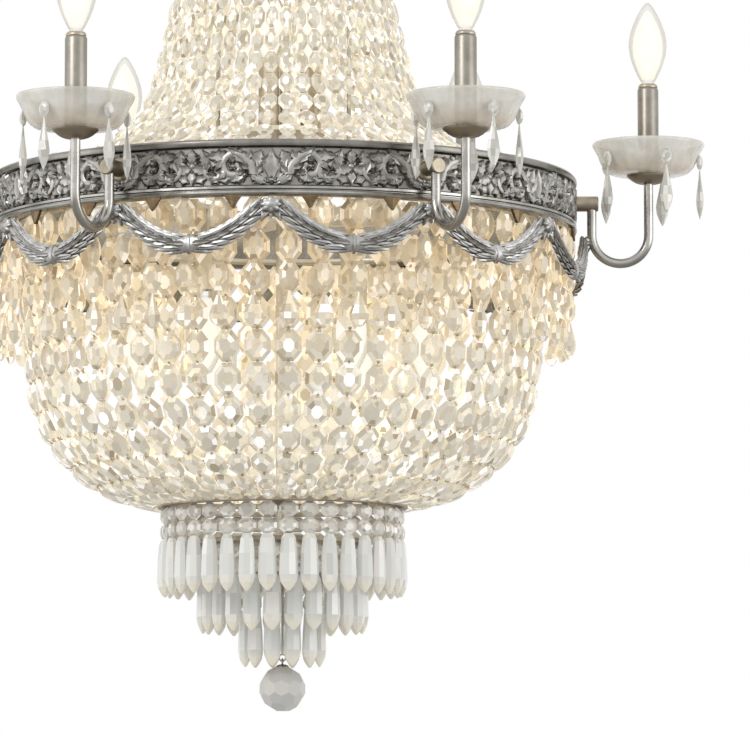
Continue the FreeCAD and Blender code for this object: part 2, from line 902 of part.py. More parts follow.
def make_candles():
    pan = s.pan_level
    reach = candle_reach()
    length = s.sleeve_top - sleeve_foot()
    sleeve = lathe("sleeve_body", sleeve_corners(length), band_level(pan + sleeve_foot()), x=reach)
    seat = s.sleeve_top - s.bulb_seat_depth
    holder = lathe("holder_body", holder_corners(0, seat, s.sleeve_top), band_level(pan), x=reach)
    bulb = lathe("bulb_body", bulb_corners(), band_level(pan + seat), x=reach)
    doc.recompute()
    group("candle_sleeves", rounded(sleeve.Shape, ARM_COUNT))
    group("lamp_holders", rounded(holder.Shape, ARM_COUNT))
    for index, shape in enumerate(rounded(bulb.Shape, ARM_COUNT), start=1):
        group(f"arm_bulb_{index}", [shape])


# ---- pendants ---------------------------------------------------------------------------------------


def pendant_radius():
    """The distance of a pendant's hook from its candle's axis."""
    return s.cup_radius.value - s.pendant_inset.value


def pendant_level():
    """The level of the lip's underside at the pendants."""
    lip = s.cup_radius.value - s.cup_throat_radius.value
    below_rim = s.cup_wall.value + s.cup_lip_rise.value * s.pendant_inset.value / lip
    return band_level(s.pan_level + s.pan_height + s.cup_height).value - below_rim


def make_pendant(angle):
    """One pendant at an angle round its cup: a small bead and an almond drop."""
    gap = s.hang_gap.value
    width = s.pendant_bead_width.value
    length = s.pendant_bead_length.value
    top = pendant_level() - gap
    almond = drop(s.pendant_drop_width.value, width / 2, s.pendant_drop_length.value, PEAR_SHARES)
    pieces = [
        put(bead(width, width / 2, length), pendant_radius(), top - length / 2),
        put(almond, pendant_radius(), top - length - gap),
    ]
    turn = FreeCAD.Placement(FreeCAD.Vector(candle_reach().value, 0, 0), FreeCAD.Rotation(Z, angle))
    for piece in pieces:
        piece.Placement = turn.multiply(piece.Placement)
    return pieces


def make_pendants():
    fixed = []
    for angle in PENDANT_ANGLES:
        if angle in SWINGING_PENDANTS.values():
            continue
        for piece in make_pendant(angle):
            fixed += rounded(piece, ARM_COUNT)
    group("cup_pendants", fixed)
    for side, angle in SWINGING_PENDANTS.items():
        pairs = [rounded(piece, ARM_COUNT) for piece in make_pendant(angle)]
        for index, pieces in enumerate(zip(*pairs), start=1):
            group(f"pendant_{index}_{side}", list(pieces))


# ---- inner lamps ------------------------------------------------------------------------------------


def make_upper_lamps():
    level = band_level(s.candle_plate_level)
    thickness = s.spider_thickness
    plate = new_body("candle_plate_body")
    disc = new_sketch(plate, "XY_Plane", "candle_plate_disc")
    circle(disc, s.candle_plate_radius)
    circle(disc, s.stem_radius + s.fit_gap)
    pad(plate, disc, thickness)
    place(plate, z=level)
    node("candle_plate", plate)
    length = s.candle_sleeve_length
    foot = level + thickness
    circle_radius = s.candle_circle_radius
    sleeve = lathe("inner_sleeve_body", sleeve_corners(length), foot, x=circle_radius)
    seat = length - s.bulb_seat_depth
    holder = lathe("inner_holder_body", holder_corners(0, seat, length), foot, x=circle_radius)
    bulb = lathe("inner_bulb_body", bulb_corners(), foot + seat, x=circle_radius)
    doc.recompute()
    group("inner_sleeves", rounded(sleeve.Shape, 3))
    group("inner_holders", rounded(holder.Shape, 3))
    group("inner_bulbs", rounded(bulb.Shape, 3))


def make_tie_rods():
    foot = band_level(s.band_spider_level) + s.spider_thickness
    top = band_level(s.crown_level + s.crown_rim_height)
    length = top - foot
    rod = lathe(
        "tie_rod_body",
        [(0, 0), (s.tie_rod_radius, 0), (s.tie_rod_radius, length), (0, length)],
        foot,
        x=s.tie_rod_circle,
    )
    doc.recompute()
    group("tie_rods", rounded(rod.Shape, 2))


def make_lower_lamps():
    """Lamps that hang from the band spider's bars into the basket, tips down."""
    hanger = band_level(s.band_spider_level)
    rod = s.lamp_rod_length
    length = rod + s.lamp_cup_length
    bore = s.bulb_base_radius + s.fit_gap * 4
    seat = length - s.bulb_seat_depth
    corners = [
        (0, 0),
        (s.lamp_rod_radius, 0),
        (s.lamp_rod_radius, rod, -s.lamp_rod_radius * 2),
        (s.lamp_cup_radius, rod + s.lamp_rod_radius),
        (s.lamp_cup_radius, length),
        (bore, length),
        (bore, seat),
        (0, seat),
    ]
    over = FreeCAD.Rotation(FreeCAD.Vector(1, 0, 0), 180)
    circle_radius = s.lamp_circle_radius
    cup = lathe("hanging_holder_body", corners, hanger, x=circle_radius, rotation=over)
    bulb = lathe("hanging_bulb_body", bulb_corners(), hanger - seat, x=circle_radius, rotation=over)
    doc.recompute()
    group("hanging_holders", rounded(cup.Shape, ARM_COUNT))
    group("hanging_bulbs", rounded(bulb.Shape, ARM_COUNT))


# ---- finial -----------------------------------------------------------------------------------------


def wire_ring(name, z, rotation):
    ring = doc.addObject("Part::Torus", name)
    ring.setExpression("Radius1", s.hook_ring_radius.text)
    ring.setExpression("Radius2", s.hook_wire_radius.text)
    place(ring, z=z, rotation=rotation)
    return ring


def make_finial():
    ball_top = band_level(s.ball_lap - s.third_ring_drop - prism_string_length())
    ball_eye_centre = ball_top + s.hook_ring_radius
    hook_centre = ball_eye_centre + s.hook_ring_radius * 2 - s.hook_wire_radius * 2 - s.hang_gap
    stem_foot = band_level(-s.third_ring_drop) - s.stem_collar_height
    shank = doc.addObject("Part::Cylinder", "hook_shank")
    shank.setExpression("Radius", (s.hook_wire_radius * 1.5).text)
    shank.setExpression("Height", (stem_foot - hook_centre - s.hook_ring_radius).text)
    place(shank, z=hook_centre + s.hook_ring_radius)
    facing = FreeCAD.Rotation(FreeCAD.Vector(1, 0, 0), 90)
    eye = wire_ring("hook_eye", hook_centre, facing)
    hook = doc.addObject("Part::Fuse", "hook_fused")
    hook.Base = shank
    hook.Tool = eye
    node("finial_hook", hook)
    sideways = FreeCAD.Rotation(FreeCAD.Vector(0, 1, 0), 90)
    ball_eye = wire_ring("ball_eye", ball_eye_centre, sideways)
    ball = doc.addObject("Part::Sphere", "ball_sphere")
    ball.setExpression("Radius", s.ball_radius.text)
    place(ball, z=ball_top - s.ball_radius)
    fused = doc.addObject("Part::Fuse", "ball_fused")
    fused.Base = ball
    fused.Tool = ball_eye
    return node("crystal_ball", fused)


# ---- build, check and write -------------------------------------------------------------------------


def build():
    make_top_loop()
    make_centre_stem()
    make_crown_ring()
    make_main_band()
    make_spiders()
    make_strand_ring()
    make_upper_strands()
    make_basket_strands()
    make_fringe()
    make_prisms()
    make_garlands()
    make_knots()
    make_arm_brackets()
    make_arm_tubes()
    make_drip_pans()
    make_glass_cups()
    make_candles()
    make_pendants()
    make_upper_lamps()
    make_tie_rods()
    make_lower_lamps()
    make_finial()


def check_document():
    doc.recompute()
    for item in doc.Objects:
        if "Invalid" in item.State or "Error" in item.State:
            raise RuntimeError(f"{item.Name} did not build: {item.State}")
    for label, item in nodes.items():
        if item.Shape.isNull() or not item.Shape.isValid() or not item.Shape.Solids:
            raise RuntimeError(f"{label} has no valid solid")


def write_parts():
    os.makedirs("parts", exist_ok=True)
    for label, item in nodes.items():
        item.Shape.exportStep(f"parts/{label}.step")
        print(f"{label}: {len(item.Shape.Solids)} solids")


build()
check_document()
write_parts()
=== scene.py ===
# %% [markdown]
# # A crystal chandelier, dressed for the studio
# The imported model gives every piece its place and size. This script keeps that frame. It replaces the plain
# crystals with cut ones, covers the metal with its frieze and leaf garlands, and gives every surface a
# finish.

import math

import bmesh
import bpy
from mathutils import Euler, Matrix, Vector


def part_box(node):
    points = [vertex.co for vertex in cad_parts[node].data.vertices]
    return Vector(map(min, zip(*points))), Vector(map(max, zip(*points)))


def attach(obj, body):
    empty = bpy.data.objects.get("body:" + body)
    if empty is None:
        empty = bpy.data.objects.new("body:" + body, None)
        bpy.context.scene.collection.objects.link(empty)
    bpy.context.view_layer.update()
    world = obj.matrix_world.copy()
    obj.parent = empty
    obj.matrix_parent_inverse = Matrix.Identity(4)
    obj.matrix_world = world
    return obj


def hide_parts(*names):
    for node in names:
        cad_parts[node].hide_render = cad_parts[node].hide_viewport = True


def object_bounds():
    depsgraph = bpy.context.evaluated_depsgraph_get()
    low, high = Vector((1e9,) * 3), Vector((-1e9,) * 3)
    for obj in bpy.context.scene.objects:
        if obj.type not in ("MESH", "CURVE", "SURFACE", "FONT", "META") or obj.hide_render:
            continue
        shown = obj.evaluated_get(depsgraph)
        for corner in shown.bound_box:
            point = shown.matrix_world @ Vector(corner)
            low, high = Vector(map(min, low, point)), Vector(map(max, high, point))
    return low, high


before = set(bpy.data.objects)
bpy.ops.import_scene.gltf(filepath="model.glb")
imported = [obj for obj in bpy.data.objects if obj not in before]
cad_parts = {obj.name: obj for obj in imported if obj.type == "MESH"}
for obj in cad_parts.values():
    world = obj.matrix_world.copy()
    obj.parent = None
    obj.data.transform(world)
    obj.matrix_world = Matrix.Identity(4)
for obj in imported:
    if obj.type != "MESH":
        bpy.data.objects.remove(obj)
cad_box = [list(corner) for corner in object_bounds()]
MM = 0.001

# %% [markdown]
# ## Node graphs as expressions
# Shader and geometry trees are both node graphs, so one small class writes either. A socket is wrapped so
# that sums and products in Python become Math nodes. Adding and linking nodes by hand would hide the formula
# in dozens of lines, and an expression shows it in one.


# %% Sockets in arithmetic
class Wire:
    """A socket that takes part in arithmetic."""

    def __init__(self, graph, socket):
        self.graph = graph
        self.socket = socket

    def math(self, operation, first, second=None):
        sockets = {0: first} if second is None else {0: first, 1: second}
        return self.graph.node("ShaderNodeMath", {"operation": operation}, sockets)[0]

    def __add__(self, other):
        return self.math("ADD", self, other)

    def __sub__(self, other):
        return self.math("SUBTRACT", self, other)

    def __rsub__(self, other):
        return self.math("SUBTRACT", other, self)

    def __mul__(self, other):
        return self.math("MULTIPLY", self, other)

    def __truediv__(self, other):
        return self.math("DIVIDE", self, other)

    __radd__ = __add__
    __rmul__ = __mul__


print("sums of sockets are written as", Wire.__add__.__qualname__)

# %% [markdown]
# Any other node comes from one method. It takes the node's type, its settings, and the values or links of
# its sockets, and gives back the node's outputs as wires.


# %% Nodes, their settings and their sockets
class Made:
    """A node that was added: made["Color"] or made[0] is an output as a Wire."""

    def __init__(self, graph, node):
        self.graph = graph
        self.node = node

    def __getitem__(self, key):
        return Wire(self.graph, pick(self.node.outputs, key))


def pick(sockets, key):
    """A socket by its number, or the first one in use by its name."""
    if isinstance(key, int):
        return sockets[key]
    return next(socket for socket in sockets if socket.name == key and socket.enabled)


class Graph:
    """A shader or geometry tree written as plain calls."""

    def __init__(self, tree):
        self.tree = tree

    def node(self, kind, settings=None, sockets=None):
        node = self.tree.nodes.new(kind)
        for name, value in (settings or {}).items():
            if name == "stops":
                set_stops(node.color_ramp, value)
            else:
                setattr(node, name, value)
        for key, value in (sockets or {}).items():
            socket = pick(node.inputs, key)
            if isinstance(value, Wire):
                self.tree.links.new(value.socket, socket)
            else:
                socket.default_value = value
        return Made(self, node)


def set_stops(ramp, stops):
    while len(ramp.elements) < len(stops):
        ramp.elements.new(1.0)
    for element, (place, color) in zip(ramp.elements, stops):
        element.position = place
        element.color = (*color, 1.0)


print("materials before the first finish:", len(bpy.data.materials))

# %% [markdown]
# ## Camera
# The photograph looks slightly up at the chandelier from a good distance, so the lens is long and the camera
# stands below the band. Its place, aim and lens were found by matching the band, the cups and the ball to
# the photograph. A short lens close by would show more of the undersides than the photograph does.

# %% Camera
BAND_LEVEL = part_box("main_band")[0][2]
CAMERA_PLACE = Vector((0.1656, -4.311, BAND_LEVEL - 0.5594))
CAMERA_AIM = Vector((0.0840, 0.0032, BAND_LEVEL - 0.1224))
CAMERA_LENS = 227.8


def make_camera():
    data = bpy.data.cameras.new("camera")
    data.lens = CAMERA_LENS
    data.sensor_width = 36.0
    data.clip_end = 50.0
    camera = bpy.data.objects.new("camera", data)
    bpy.context.scene.collection.objects.link(camera)
    camera.location = CAMERA_PLACE
    camera.rotation_euler = (CAMERA_AIM - CAMERA_PLACE).to_track_quat("-Z", "Y").to_euler()
    bpy.context.scene.camera = camera


make_camera()
print("camera at", tuple(round(part, 3) for part in CAMERA_PLACE), "with a lens of", CAMERA_LENS)

# %% [markdown]
# ## Light and floor
# The background is white, from the world as the camera, gloss and glass see it. The same world gives the
# crystals a weaker light, so they keep their tone. A large key lamp at the left and softer ones at the
# right and the sides model the facets and relief. The floor lies far below, as under a hanging lamp.

# %% World
AMBIENT = 0.69


def make_world():
    world = bpy.data.worlds.new("studio")
    bpy.context.scene.world = world
    world.use_nodes = True
    graph = Graph(world.node_tree)
    world.node_tree.nodes.clear()
    path = graph.node("ShaderNodeLightPath")
    seen = path["Is Camera Ray"] + path["Is Glossy Ray"] + path["Is Transmission Ray"]
    shown = graph.node("ShaderNodeMath", {"operation": "MINIMUM"}, {0: seen, 1: 1.0})[0]
    strength = shown * (1.0 - AMBIENT) + AMBIENT
    light = graph.node("ShaderNodeBackground", None, {"Color": (1, 1, 1, 1), "Strength": strength})
    out = graph.node("ShaderNodeOutputWorld")
    graph.tree.links.new(light[0].socket, out.node.inputs["Surface"])


make_world()
print("world light on the object:", AMBIENT)

# %% Lamps of the studio
KEY_POWER = 42.0
FILL_POWER = 16.0
SIDE_POWER = 5.0


def area_light(name, place, aim, size, power):
    data = bpy.data.lights.new(name, "AREA")
    data.shape = "DISK"
    data.size = size
    data.energy = power
    lamp = bpy.data.objects.new(name, data)
    bpy.context.scene.collection.objects.link(lamp)
    lamp.location = place
    lamp.rotation_euler = (Vector(aim) - Vector(place)).to_track_quat("-Z", "Y").to_euler()


area_light("key", (-2.2, -2.6, 1.2), (0, 0, BAND_LEVEL), 1.6, KEY_POWER)
area_light("fill", (2.6, -1.6, 0.2), (0, 0, BAND_LEVEL), 2.0, FILL_POWER)
for side, name in ((-1, "left"), (1, "right")):
    place, aim = (2.2 * side, -0.5, BAND_LEVEL), (0.2 * side, 0, BAND_LEVEL)
    area_light(f"side_{name}", place, aim, 1.2, SIDE_POWER)
print("studio lamps:", len(bpy.data.lights))

# %% Floor
FLOOR_DROP = 5.5
FLOOR_REACH = 40.0


def make_floor():
    level = cad_box[0][2] - FLOOR_DROP
    mesh = bpy.data.meshes.new("floor")
    corners = [(x * FLOOR_REACH, y * FLOOR_REACH, level) for x, y in ((-1, -1), (1, -1), (1, 1), (-1, 1))]
    mesh.from_pydata(corners, [], [(0, 1, 2, 3)])
    floor = bpy.data.objects.new("floor", mesh)
    bpy.context.scene.collection.objects.link(floor)
    material = bpy.data.materials.new("pale_floor")
    material.use_nodes = True
    material.node_tree.nodes["Principled BSDF"].inputs["Base Color"].default_value = (0.92, 0.92, 0.92, 1)
    material.node_tree.nodes["Principled BSDF"].inputs["Roughness"].default_value = 0.9
    mesh.materials.append(material)


make_floor()
bpy.context.scene.view_settings.view_transform = "Standard"
print("floor below the object by", FLOOR_DROP, "m")


# %% [markdown]
# ## Metal finishes
# The metal is antique nickel. Light and shade are painted on it: it is bright where its faces look up and
# brown-grey on its undersides, and its hollows are painted dark with shade and some patina. One grey would
# look like plastic, and a worn-edge mask needs a fine mesh. So the colour follows which way a face points,
# and a cloudy noise stains it and changes its gloss.

# %% Shorthand for materials
def new_material(name):
    material = bpy.data.materials.new(name)
    material.use_nodes = True
    graph = Graph(material.node_tree)
    shader = material.node_tree.nodes["Principled BSDF"]
    return material, graph, shader


def link(graph, wire, shader, name):
    graph.tree.links.new(wire.socket, shader.inputs[name])


def mixed(graph, factor, first, second):
    """A colour between two, each a plain colour or a Wire."""
    colors = {6: first, 7: second}
    colors = {key: value if isinstance(value, Wire) else (*value, 1.0) for key, value in colors.items()}
    return graph.node("ShaderNodeMix", {"data_type": "RGBA"}, {0: factor, **colors})[2]


def scaled(graph, color, factor):
    return graph.node("ShaderNodeVectorMath", {"operation": "SCALE"}, {0: color, "Scale": factor})[0]


print("materials before the metals:", len(bpy.data.materials))


# %% One function for every metal
CLOUD_DETAIL = 4.0


def nickel(name, light, cloud_color, under, cloud_size, roughness):
    """Nickel with painted light where it faces up, clouds on its sides and painted shade where it faces down.
    """
    material, graph, shader = new_material(name)
    coordinate = graph.node("ShaderNodeTexCoord")
    place = coordinate["Object"]
    noise = {"Vector": place, "Scale": 1 / cloud_size, "Detail": CLOUD_DETAIL, "Roughness": 0.62}
    cloud = graph.node("ShaderNodeTexNoise", None, noise)["Fac"]
    # Painted light and shade: how lit a face looks follows which way it points, not where a lamp is.
    upward = graph.node("ShaderNodeSeparateXYZ", None, {0: coordinate["Normal"]})[2]
    clouds = graph.node("ShaderNodeMapRange", None, {0: cloud, 1: 0.36, 2: 0.60})[0]
    shade = graph.node("ShaderNodeMapRange", None, {0: upward + cloud * 0.5, 1: -0.45, 2: 0.30})[0]
    tone = mixed(graph, shade, under, mixed(graph, clouds, cloud_color, light))
    link(graph, tone, shader, "Base Color")
    link(graph, cloud * 0.24 + (roughness - 0.12), shader, "Roughness")
    shader.inputs["Metallic"].default_value = 1.0
    return material


print("detail of the metal's clouds:", CLOUD_DETAIL)


# %% [markdown]
# Each metal has three colours: painted light for faces that look up, a colour for its clouds and painted
# shade for its undersides. Then come the size of its clouds and its roughness. Polished tubes are smooth and
# the cast ornament is duller, and the hollows behind it are painted dark, with shade and some patina.

# %% The metals
# Columns: painted light colour of up-facing faces, cloud colour, painted shade colour of undersides, cloud
# size, roughness.
METALS = {
    "antique_nickel": ((0.46, 0.45, 0.425), (0.30, 0.29, 0.265), (0.15, 0.135, 0.11), 0.03, 0.24),
    "ornament_nickel": ((0.45, 0.44, 0.41), (0.33, 0.32, 0.295), (0.20, 0.19, 0.165), 0.016, 0.42),
    # Painted shade, with some patina, for the hollows behind the ornament.
    "patina_and_shade": ((0.40, 0.38, 0.345), (0.25, 0.235, 0.205), (0.18, 0.165, 0.14), 0.02, 0.50),
    "garland_nickel": ((0.56, 0.56, 0.555), (0.40, 0.395, 0.38), (0.20, 0.18, 0.15), 0.014, 0.40),
    "bright_nickel": ((0.50, 0.49, 0.46), (0.39, 0.375, 0.35), (0.22, 0.20, 0.17), 0.03, 0.26),
    "brown_nickel": ((0.50, 0.44, 0.345), (0.35, 0.30, 0.225), (0.205, 0.165, 0.115), 0.02, 0.38),
    "sleeve_nickel": ((0.33, 0.31, 0.27), (0.24, 0.22, 0.185), (0.15, 0.13, 0.10), 0.03, 0.38),
    "aged_brass": ((0.23, 0.165, 0.095), (0.15, 0.10, 0.055), (0.08, 0.055, 0.03), 0.015, 0.42),
    # A darker copy of the nickel: painted shade for the band's upper rim.
    "shaded_rim_nickel": ((0.28, 0.27, 0.245), (0.19, 0.18, 0.16), (0.10, 0.09, 0.075), 0.03, 0.30),
    "inner_nickel": ((0.74, 0.71, 0.64), (0.62, 0.58, 0.50), (0.48, 0.43, 0.35), 0.03, 0.32),
    "pin_brass": ((0.62, 0.55, 0.42), (0.48, 0.41, 0.29), (0.36, 0.29, 0.19), 0.02, 0.36),
}
metals = {name: nickel(name, *values) for name, values in METALS.items()}
NICKEL, ORNAMENT, PATINA_AND_SHADE = metals["antique_nickel"], metals["ornament_nickel"], metals["patina_and_shade"]
GARLAND_NICKEL, CHROME = metals["garland_nickel"], metals["bright_nickel"]
BROWN_NICKEL, SLEEVE_NICKEL = metals["brown_nickel"], metals["sleeve_nickel"]
AGED_BRASS, SHADED_RIM_NICKEL = metals["aged_brass"], metals["shaded_rim_nickel"]
INNER_NICKEL, PIN_BRASS = metals["inner_nickel"], metals["pin_brass"]
print("metals:", ", ".join(metals))


# %% [markdown]
# ## Light from the lamps inside
# Six lamps hang in the basket and warm the crystals near them. Real lamps shining through thousands of
# glass facets would need a very long render, so the crystals near a lamp give off a little light of their
# own. The angle round the stem is folded into one sixth, and one distance then serves all six lamps.

# %% Glow of the hanging lamps
LAMP_RING = 0.130
LAMP_LEVEL = BAND_LEVEL - 0.100
LAMP_REACH = 0.128
LAMP_CORE = 0.04


def lamp_glow(graph, place):
    """How near a point is to the closest lamp in the basket: 1 close to it and 0 out of its reach."""
    part = graph.node("ShaderNodeSeparateXYZ", None, {0: place})
    x, y, z = part[0], part[1], part[2]
    radius = graph.node("ShaderNodeMath", {"operation": "SQRT"}, {0: x * x + y * y})[0]
    turn = graph.node("ShaderNodeMath", {"operation": "ARCTAN2"}, {0: y, 1: x})[0]
    sector = math.pi / 3
    folded = graph.node("ShaderNodeMath", {"operation": "PINGPONG"}, {0: turn, 1: sector / 2})[0]
    outward = radius * graph.node("ShaderNodeMath", {"operation": "COSINE"}, {0: folded})[0] - LAMP_RING
    aside = radius * graph.node("ShaderNodeMath", {"operation": "SINE"}, {0: folded})[0]
    height = (z - LAMP_LEVEL) * 0.8
    square = outward * outward + aside * aside + height * height
    distance = graph.node("ShaderNodeMath", {"operation": "SQRT"}, {0: square})[0]
    fade = {"interpolation_type": "SMOOTHSTEP"}
    return graph.node("ShaderNodeMapRange", fade, {0: distance, 1: LAMP_REACH, 2: LAMP_CORE})[0]


def lit_from_inside(graph, coordinate):
    """1 on the faces that look in towards the stem, where the lamps are, and 0 on the outer faces."""
    place = graph.node("ShaderNodeSeparateXYZ", None, {0: coordinate["Object"]})
    facing = graph.node("ShaderNodeSeparateXYZ", None, {0: coordinate["Normal"]})
    inward = place[0] * facing[0] + place[1] * facing[1]
    return graph.node("ShaderNodeMapRange", None, {0: inward, 1: 0.0, 2: -0.06})[0]


print("lamps warm what is within", LAMP_REACH, "m of them")

# %% [markdown]
# ## Cut crystal
# Each facet of a crystal shows something else: a lamp, the room, or the dark. Traced glass would do this too,
# with much noise and hours of light bounces. Here the tree that places the crystals stores a random tone on
# every face, as the attribute "cut". A colour ramp turns the tone into cream, pale grey, white or a
# dark accent, a coat adds the gloss, and some facets are part clear.

# %% Crystal
PRISM_FOOT = (0.72, 0.67, 0.55)
GLASS_INDEX = 1.52
COAT = 0.5
COAT_ROUGHNESS = 0.04
GLOW_STRENGTH = 0.55


def facet_colors(graph, cut, stops):
    """The colour of each facet from its random tone, warmer towards a prism's foot."""
    foot = graph.node("ShaderNodeAttribute", {"attribute_name": "foot"})["Fac"]
    ramp = graph.node("ShaderNodeValToRGB", {"stops": stops}, {"Fac": cut})["Color"]
    return mixed(graph, foot, ramp, PRISM_FOOT)


def polish(graph, shader, color, glow, roughness, coat):
    """The facets' own colour, the colour of the light they give off, and their gloss."""
    link(graph, color, shader, "Base Color")
    link(graph, glow, shader, "Emission Color")
    shader.inputs["Roughness"].default_value = roughness
    shader.inputs["IOR"].default_value = GLASS_INDEX
    shader.inputs["Coat Weight"].default_value = coat
    shader.inputs["Coat Roughness"].default_value = COAT_ROUGHNESS
    shader.inputs["Emission Strength"].default_value = GLOW_STRENGTH


def crystal(name, stops, roughness, base_glow, coat=COAT):
    """Cut crystal that gives off a share of its own colour, as glass in a bright room seems to."""
    material, graph, shader = new_material(name)
    cut = graph.node("ShaderNodeAttribute", {"attribute_name": "cut"})["Fac"]
    tone = facet_colors(graph, cut, stops)
    polish(graph, shader, tone, scaled(graph, tone, base_glow), roughness, coat)
    return material


print("index of the crystal:", GLASS_INDEX)

# %% [markdown]
# The beads round the lamps need more: the glow of the lamps near them, an inner side that glows with their
# light, painted warm shade on the fringe close under the band, and facets that let the beads behind them show
# through.

# %% Crystal warmed by the lamps
GLOW_COLOR = (1.0, 0.86, 0.62)
# The colour of the painted warm shade on the fringe close under the band.
FRINGE_SHADE_COLOR = (0.98, 0.905, 0.79)
CLEAR_SHARE = 0.40
INNER_SIDE = 0.9


def fringe_shade(graph, coordinate):
    """White above and below, and painted warm shade on the fringe close under the band."""
    level = graph.node("ShaderNodeSeparateXYZ", None, {0: coordinate["Object"]})[2]
    limits = {0: level, 1: BAND_LEVEL - 0.14, 2: BAND_LEVEL - 0.05}
    under_band_shade = graph.node("ShaderNodeMapRange", None, limits)[0]
    limits = {0: level, 1: BAND_LEVEL + 0.03, 2: BAND_LEVEL + 0.01}
    above = graph.node("ShaderNodeMapRange", None, limits)[0]
    return mixed(graph, under_band_shade * above, (1.0, 1.0, 1.0), FRINGE_SHADE_COLOR)


def warmed_crystal(name, stops, roughness, base_glow, clear):
    """Cut crystal with lamps behind it. clear is the alpha of its clear facets."""
    material, graph, shader = new_material(name)
    coordinate = graph.node("ShaderNodeTexCoord")
    cut = graph.node("ShaderNodeAttribute", {"attribute_name": "cut"})["Fac"]
    tone = facet_colors(graph, cut, stops)
    tinted = {0: tone, 1: fringe_shade(graph, coordinate)}
    toned = graph.node("ShaderNodeVectorMath", {"operation": "MULTIPLY"}, tinted)[0]
    near = lamp_glow(graph, coordinate["Object"])
    strength = near * (1.0 - base_glow) + lit_from_inside(graph, coordinate) * INNER_SIDE + base_glow
    glow = scaled(graph, mixed(graph, near, toned, GLOW_COLOR), strength)
    polish(graph, shader, toned, glow, roughness, COAT)
    chance = graph.node("ShaderNodeMath", {"operation": "FRACT"}, {0: cut * 37.0})[0]
    seen_through = graph.node("ShaderNodeMath", {"operation": "LESS_THAN"}, {0: chance, 1: CLEAR_SHARE})[0]
    link(graph, 1.0 - seen_through * (1.0 - clear), shader, "Alpha")
    return material


print("share of clear facets:", CLEAR_SHARE)

# %% [markdown]
# The strands are warm and bright, the prisms cool with a warm foot, the pendants grey and the ball nearly
# even. Each finish is a ramp: the share of facets at a tone is the width of that stop.

# %% The crystals
WARM_STOPS = [
    (0.0, (0.31, 0.25, 0.16)),
    (0.05, (0.44, 0.38, 0.28)),
    (0.12, (0.50, 0.45, 0.36)),
    (0.45, (0.58, 0.54, 0.45)),
    (0.72, (0.68, 0.63, 0.52)),
    (0.84, (0.86, 0.78, 0.58)),
    (0.90, (1.0, 0.98, 0.94)),
]
COOL_STOPS = [
    (0.0, (0.32, 0.29, 0.24)),
    (0.06, (0.46, 0.44, 0.39)),
    (0.35, (0.55, 0.53, 0.48)),
    (0.80, (0.63, 0.61, 0.55)),
    (0.94, (0.84, 0.82, 0.77)),
]
PRISM_STOPS = [
    (0.0, (0.49, 0.49, 0.465)),
    (0.10, (0.58, 0.585, 0.56)),
    (0.60, (0.64, 0.645, 0.615)),
    (0.90, (0.71, 0.695, 0.65)),
]
PENDANT_STOPS = [(0.0, (0.40, 0.39, 0.35)), (0.5, (0.54, 0.53, 0.48)), (1.0, (0.72, 0.71, 0.66))]
BALL_STOPS = [(0.0, (0.46, 0.46, 0.435)), (0.5, (0.50, 0.49, 0.46)), (1.0, (0.545, 0.53, 0.49))]
WARM_CRYSTAL = warmed_crystal("warm_crystal", WARM_STOPS, 0.16, 0.42, clear=0.45)
COOL_CRYSTAL = crystal("cool_crystal", COOL_STOPS, 0.16, 0.22)
PRISM_CRYSTAL = crystal("prism_crystal", PRISM_STOPS, 0.14, 0.26)
PENDANT_CRYSTAL = crystal("pendant_crystal", PENDANT_STOPS, 0.14, 0.2)
BALL_CRYSTAL = crystal("ball_crystal", BALL_STOPS, 0.45, 0.18, coat=0.15)
print("tones of the warm crystal:", len(WARM_STOPS))

# %% [markdown]
# ## Cup glass
# The cups are pressed glass, not cut: soft and a little milky, with a painted warm reflection of the brown
# pan near their foot. Refraction would only blur what is behind, so the glass is part clear by its alpha,
# with faint clouds.

# %% Cup glass
CUP_FOOT = BAND_LEVEL + 0.0542
PAN_REFLECTION_HEIGHT = 0.014


def cup_glass():
    """Pressed glass: softly clouded, with a painted reflection of the pan near its foot, and see-through in
    part.
    """
    material, graph, shader = new_material("pressed_glass")
    place = graph.node("ShaderNodeTexCoord")["Object"]
    cloud = graph.node("ShaderNodeTexNoise", None, {"Vector": place, "Scale": 42.0, "Detail": 2.0})["Fac"]
    stops = [(0.30, (0.64, 0.61, 0.54)), (0.50, (0.74, 0.71, 0.63)), (0.70, (0.84, 0.82, 0.76))]
    tone = graph.node("ShaderNodeValToRGB", {"stops": stops}, {"Fac": cloud})["Color"]
    level = graph.node("ShaderNodeSeparateXYZ", None, {0: place})[2]
    # The pan's brown is painted on the cup's foot as its warm reflection.
    limits = {0: level, 1: CUP_FOOT + PAN_REFLECTION_HEIGHT, 2: CUP_FOOT, 3: 0.0, 4: 0.75}
    warm = graph.node("ShaderNodeMapRange", None, limits)[0]
    link(graph, mixed(graph, warm, tone, (0.72, 0.60, 0.46)), shader, "Base Color")
    link(graph, cloud * 0.4 + 0.42, shader, "Alpha")
    shader.inputs["Roughness"].default_value = 0.15
    shader.inputs["Coat Weight"].default_value = 0.5
    return material


CUP_GLASS = cup_glass()
print("cups stand at", round(CUP_FOOT, 4), "m")

# %% [markdown]
# ## Lamps
# A bulb that is lit hides its filament: the eye sees a white flame in thin glass. So each bulb has a light
# inside, which only gives off its colour, and a clear envelope that is milky where it is seen edge-on.

# %% Lamp finishes
def lamp_light():
    """The light inside a bulb, white with warm clouds."""
    material, graph, shader = new_material("lamp_light")
    place = graph.node("ShaderNodeTexCoord")["Object"]
    cloud = graph.node("ShaderNodeTexNoise", None, {"Vector": place, "Scale": 45.0})["Fac"]
    stops = [(0.35, (1.0, 0.965, 0.82)), (0.62, (1.0, 0.985, 0.92))]
    tone = graph.node("ShaderNodeValToRGB", {"stops": stops}, {"Fac": cloud})["Color"]
    link(graph, scaled(graph, tone, 0.12), shader, "Base Color")
    link(graph, tone, shader, "Emission Color")
    shader.inputs["Emission Strength"].default_value = 1.0
    return material


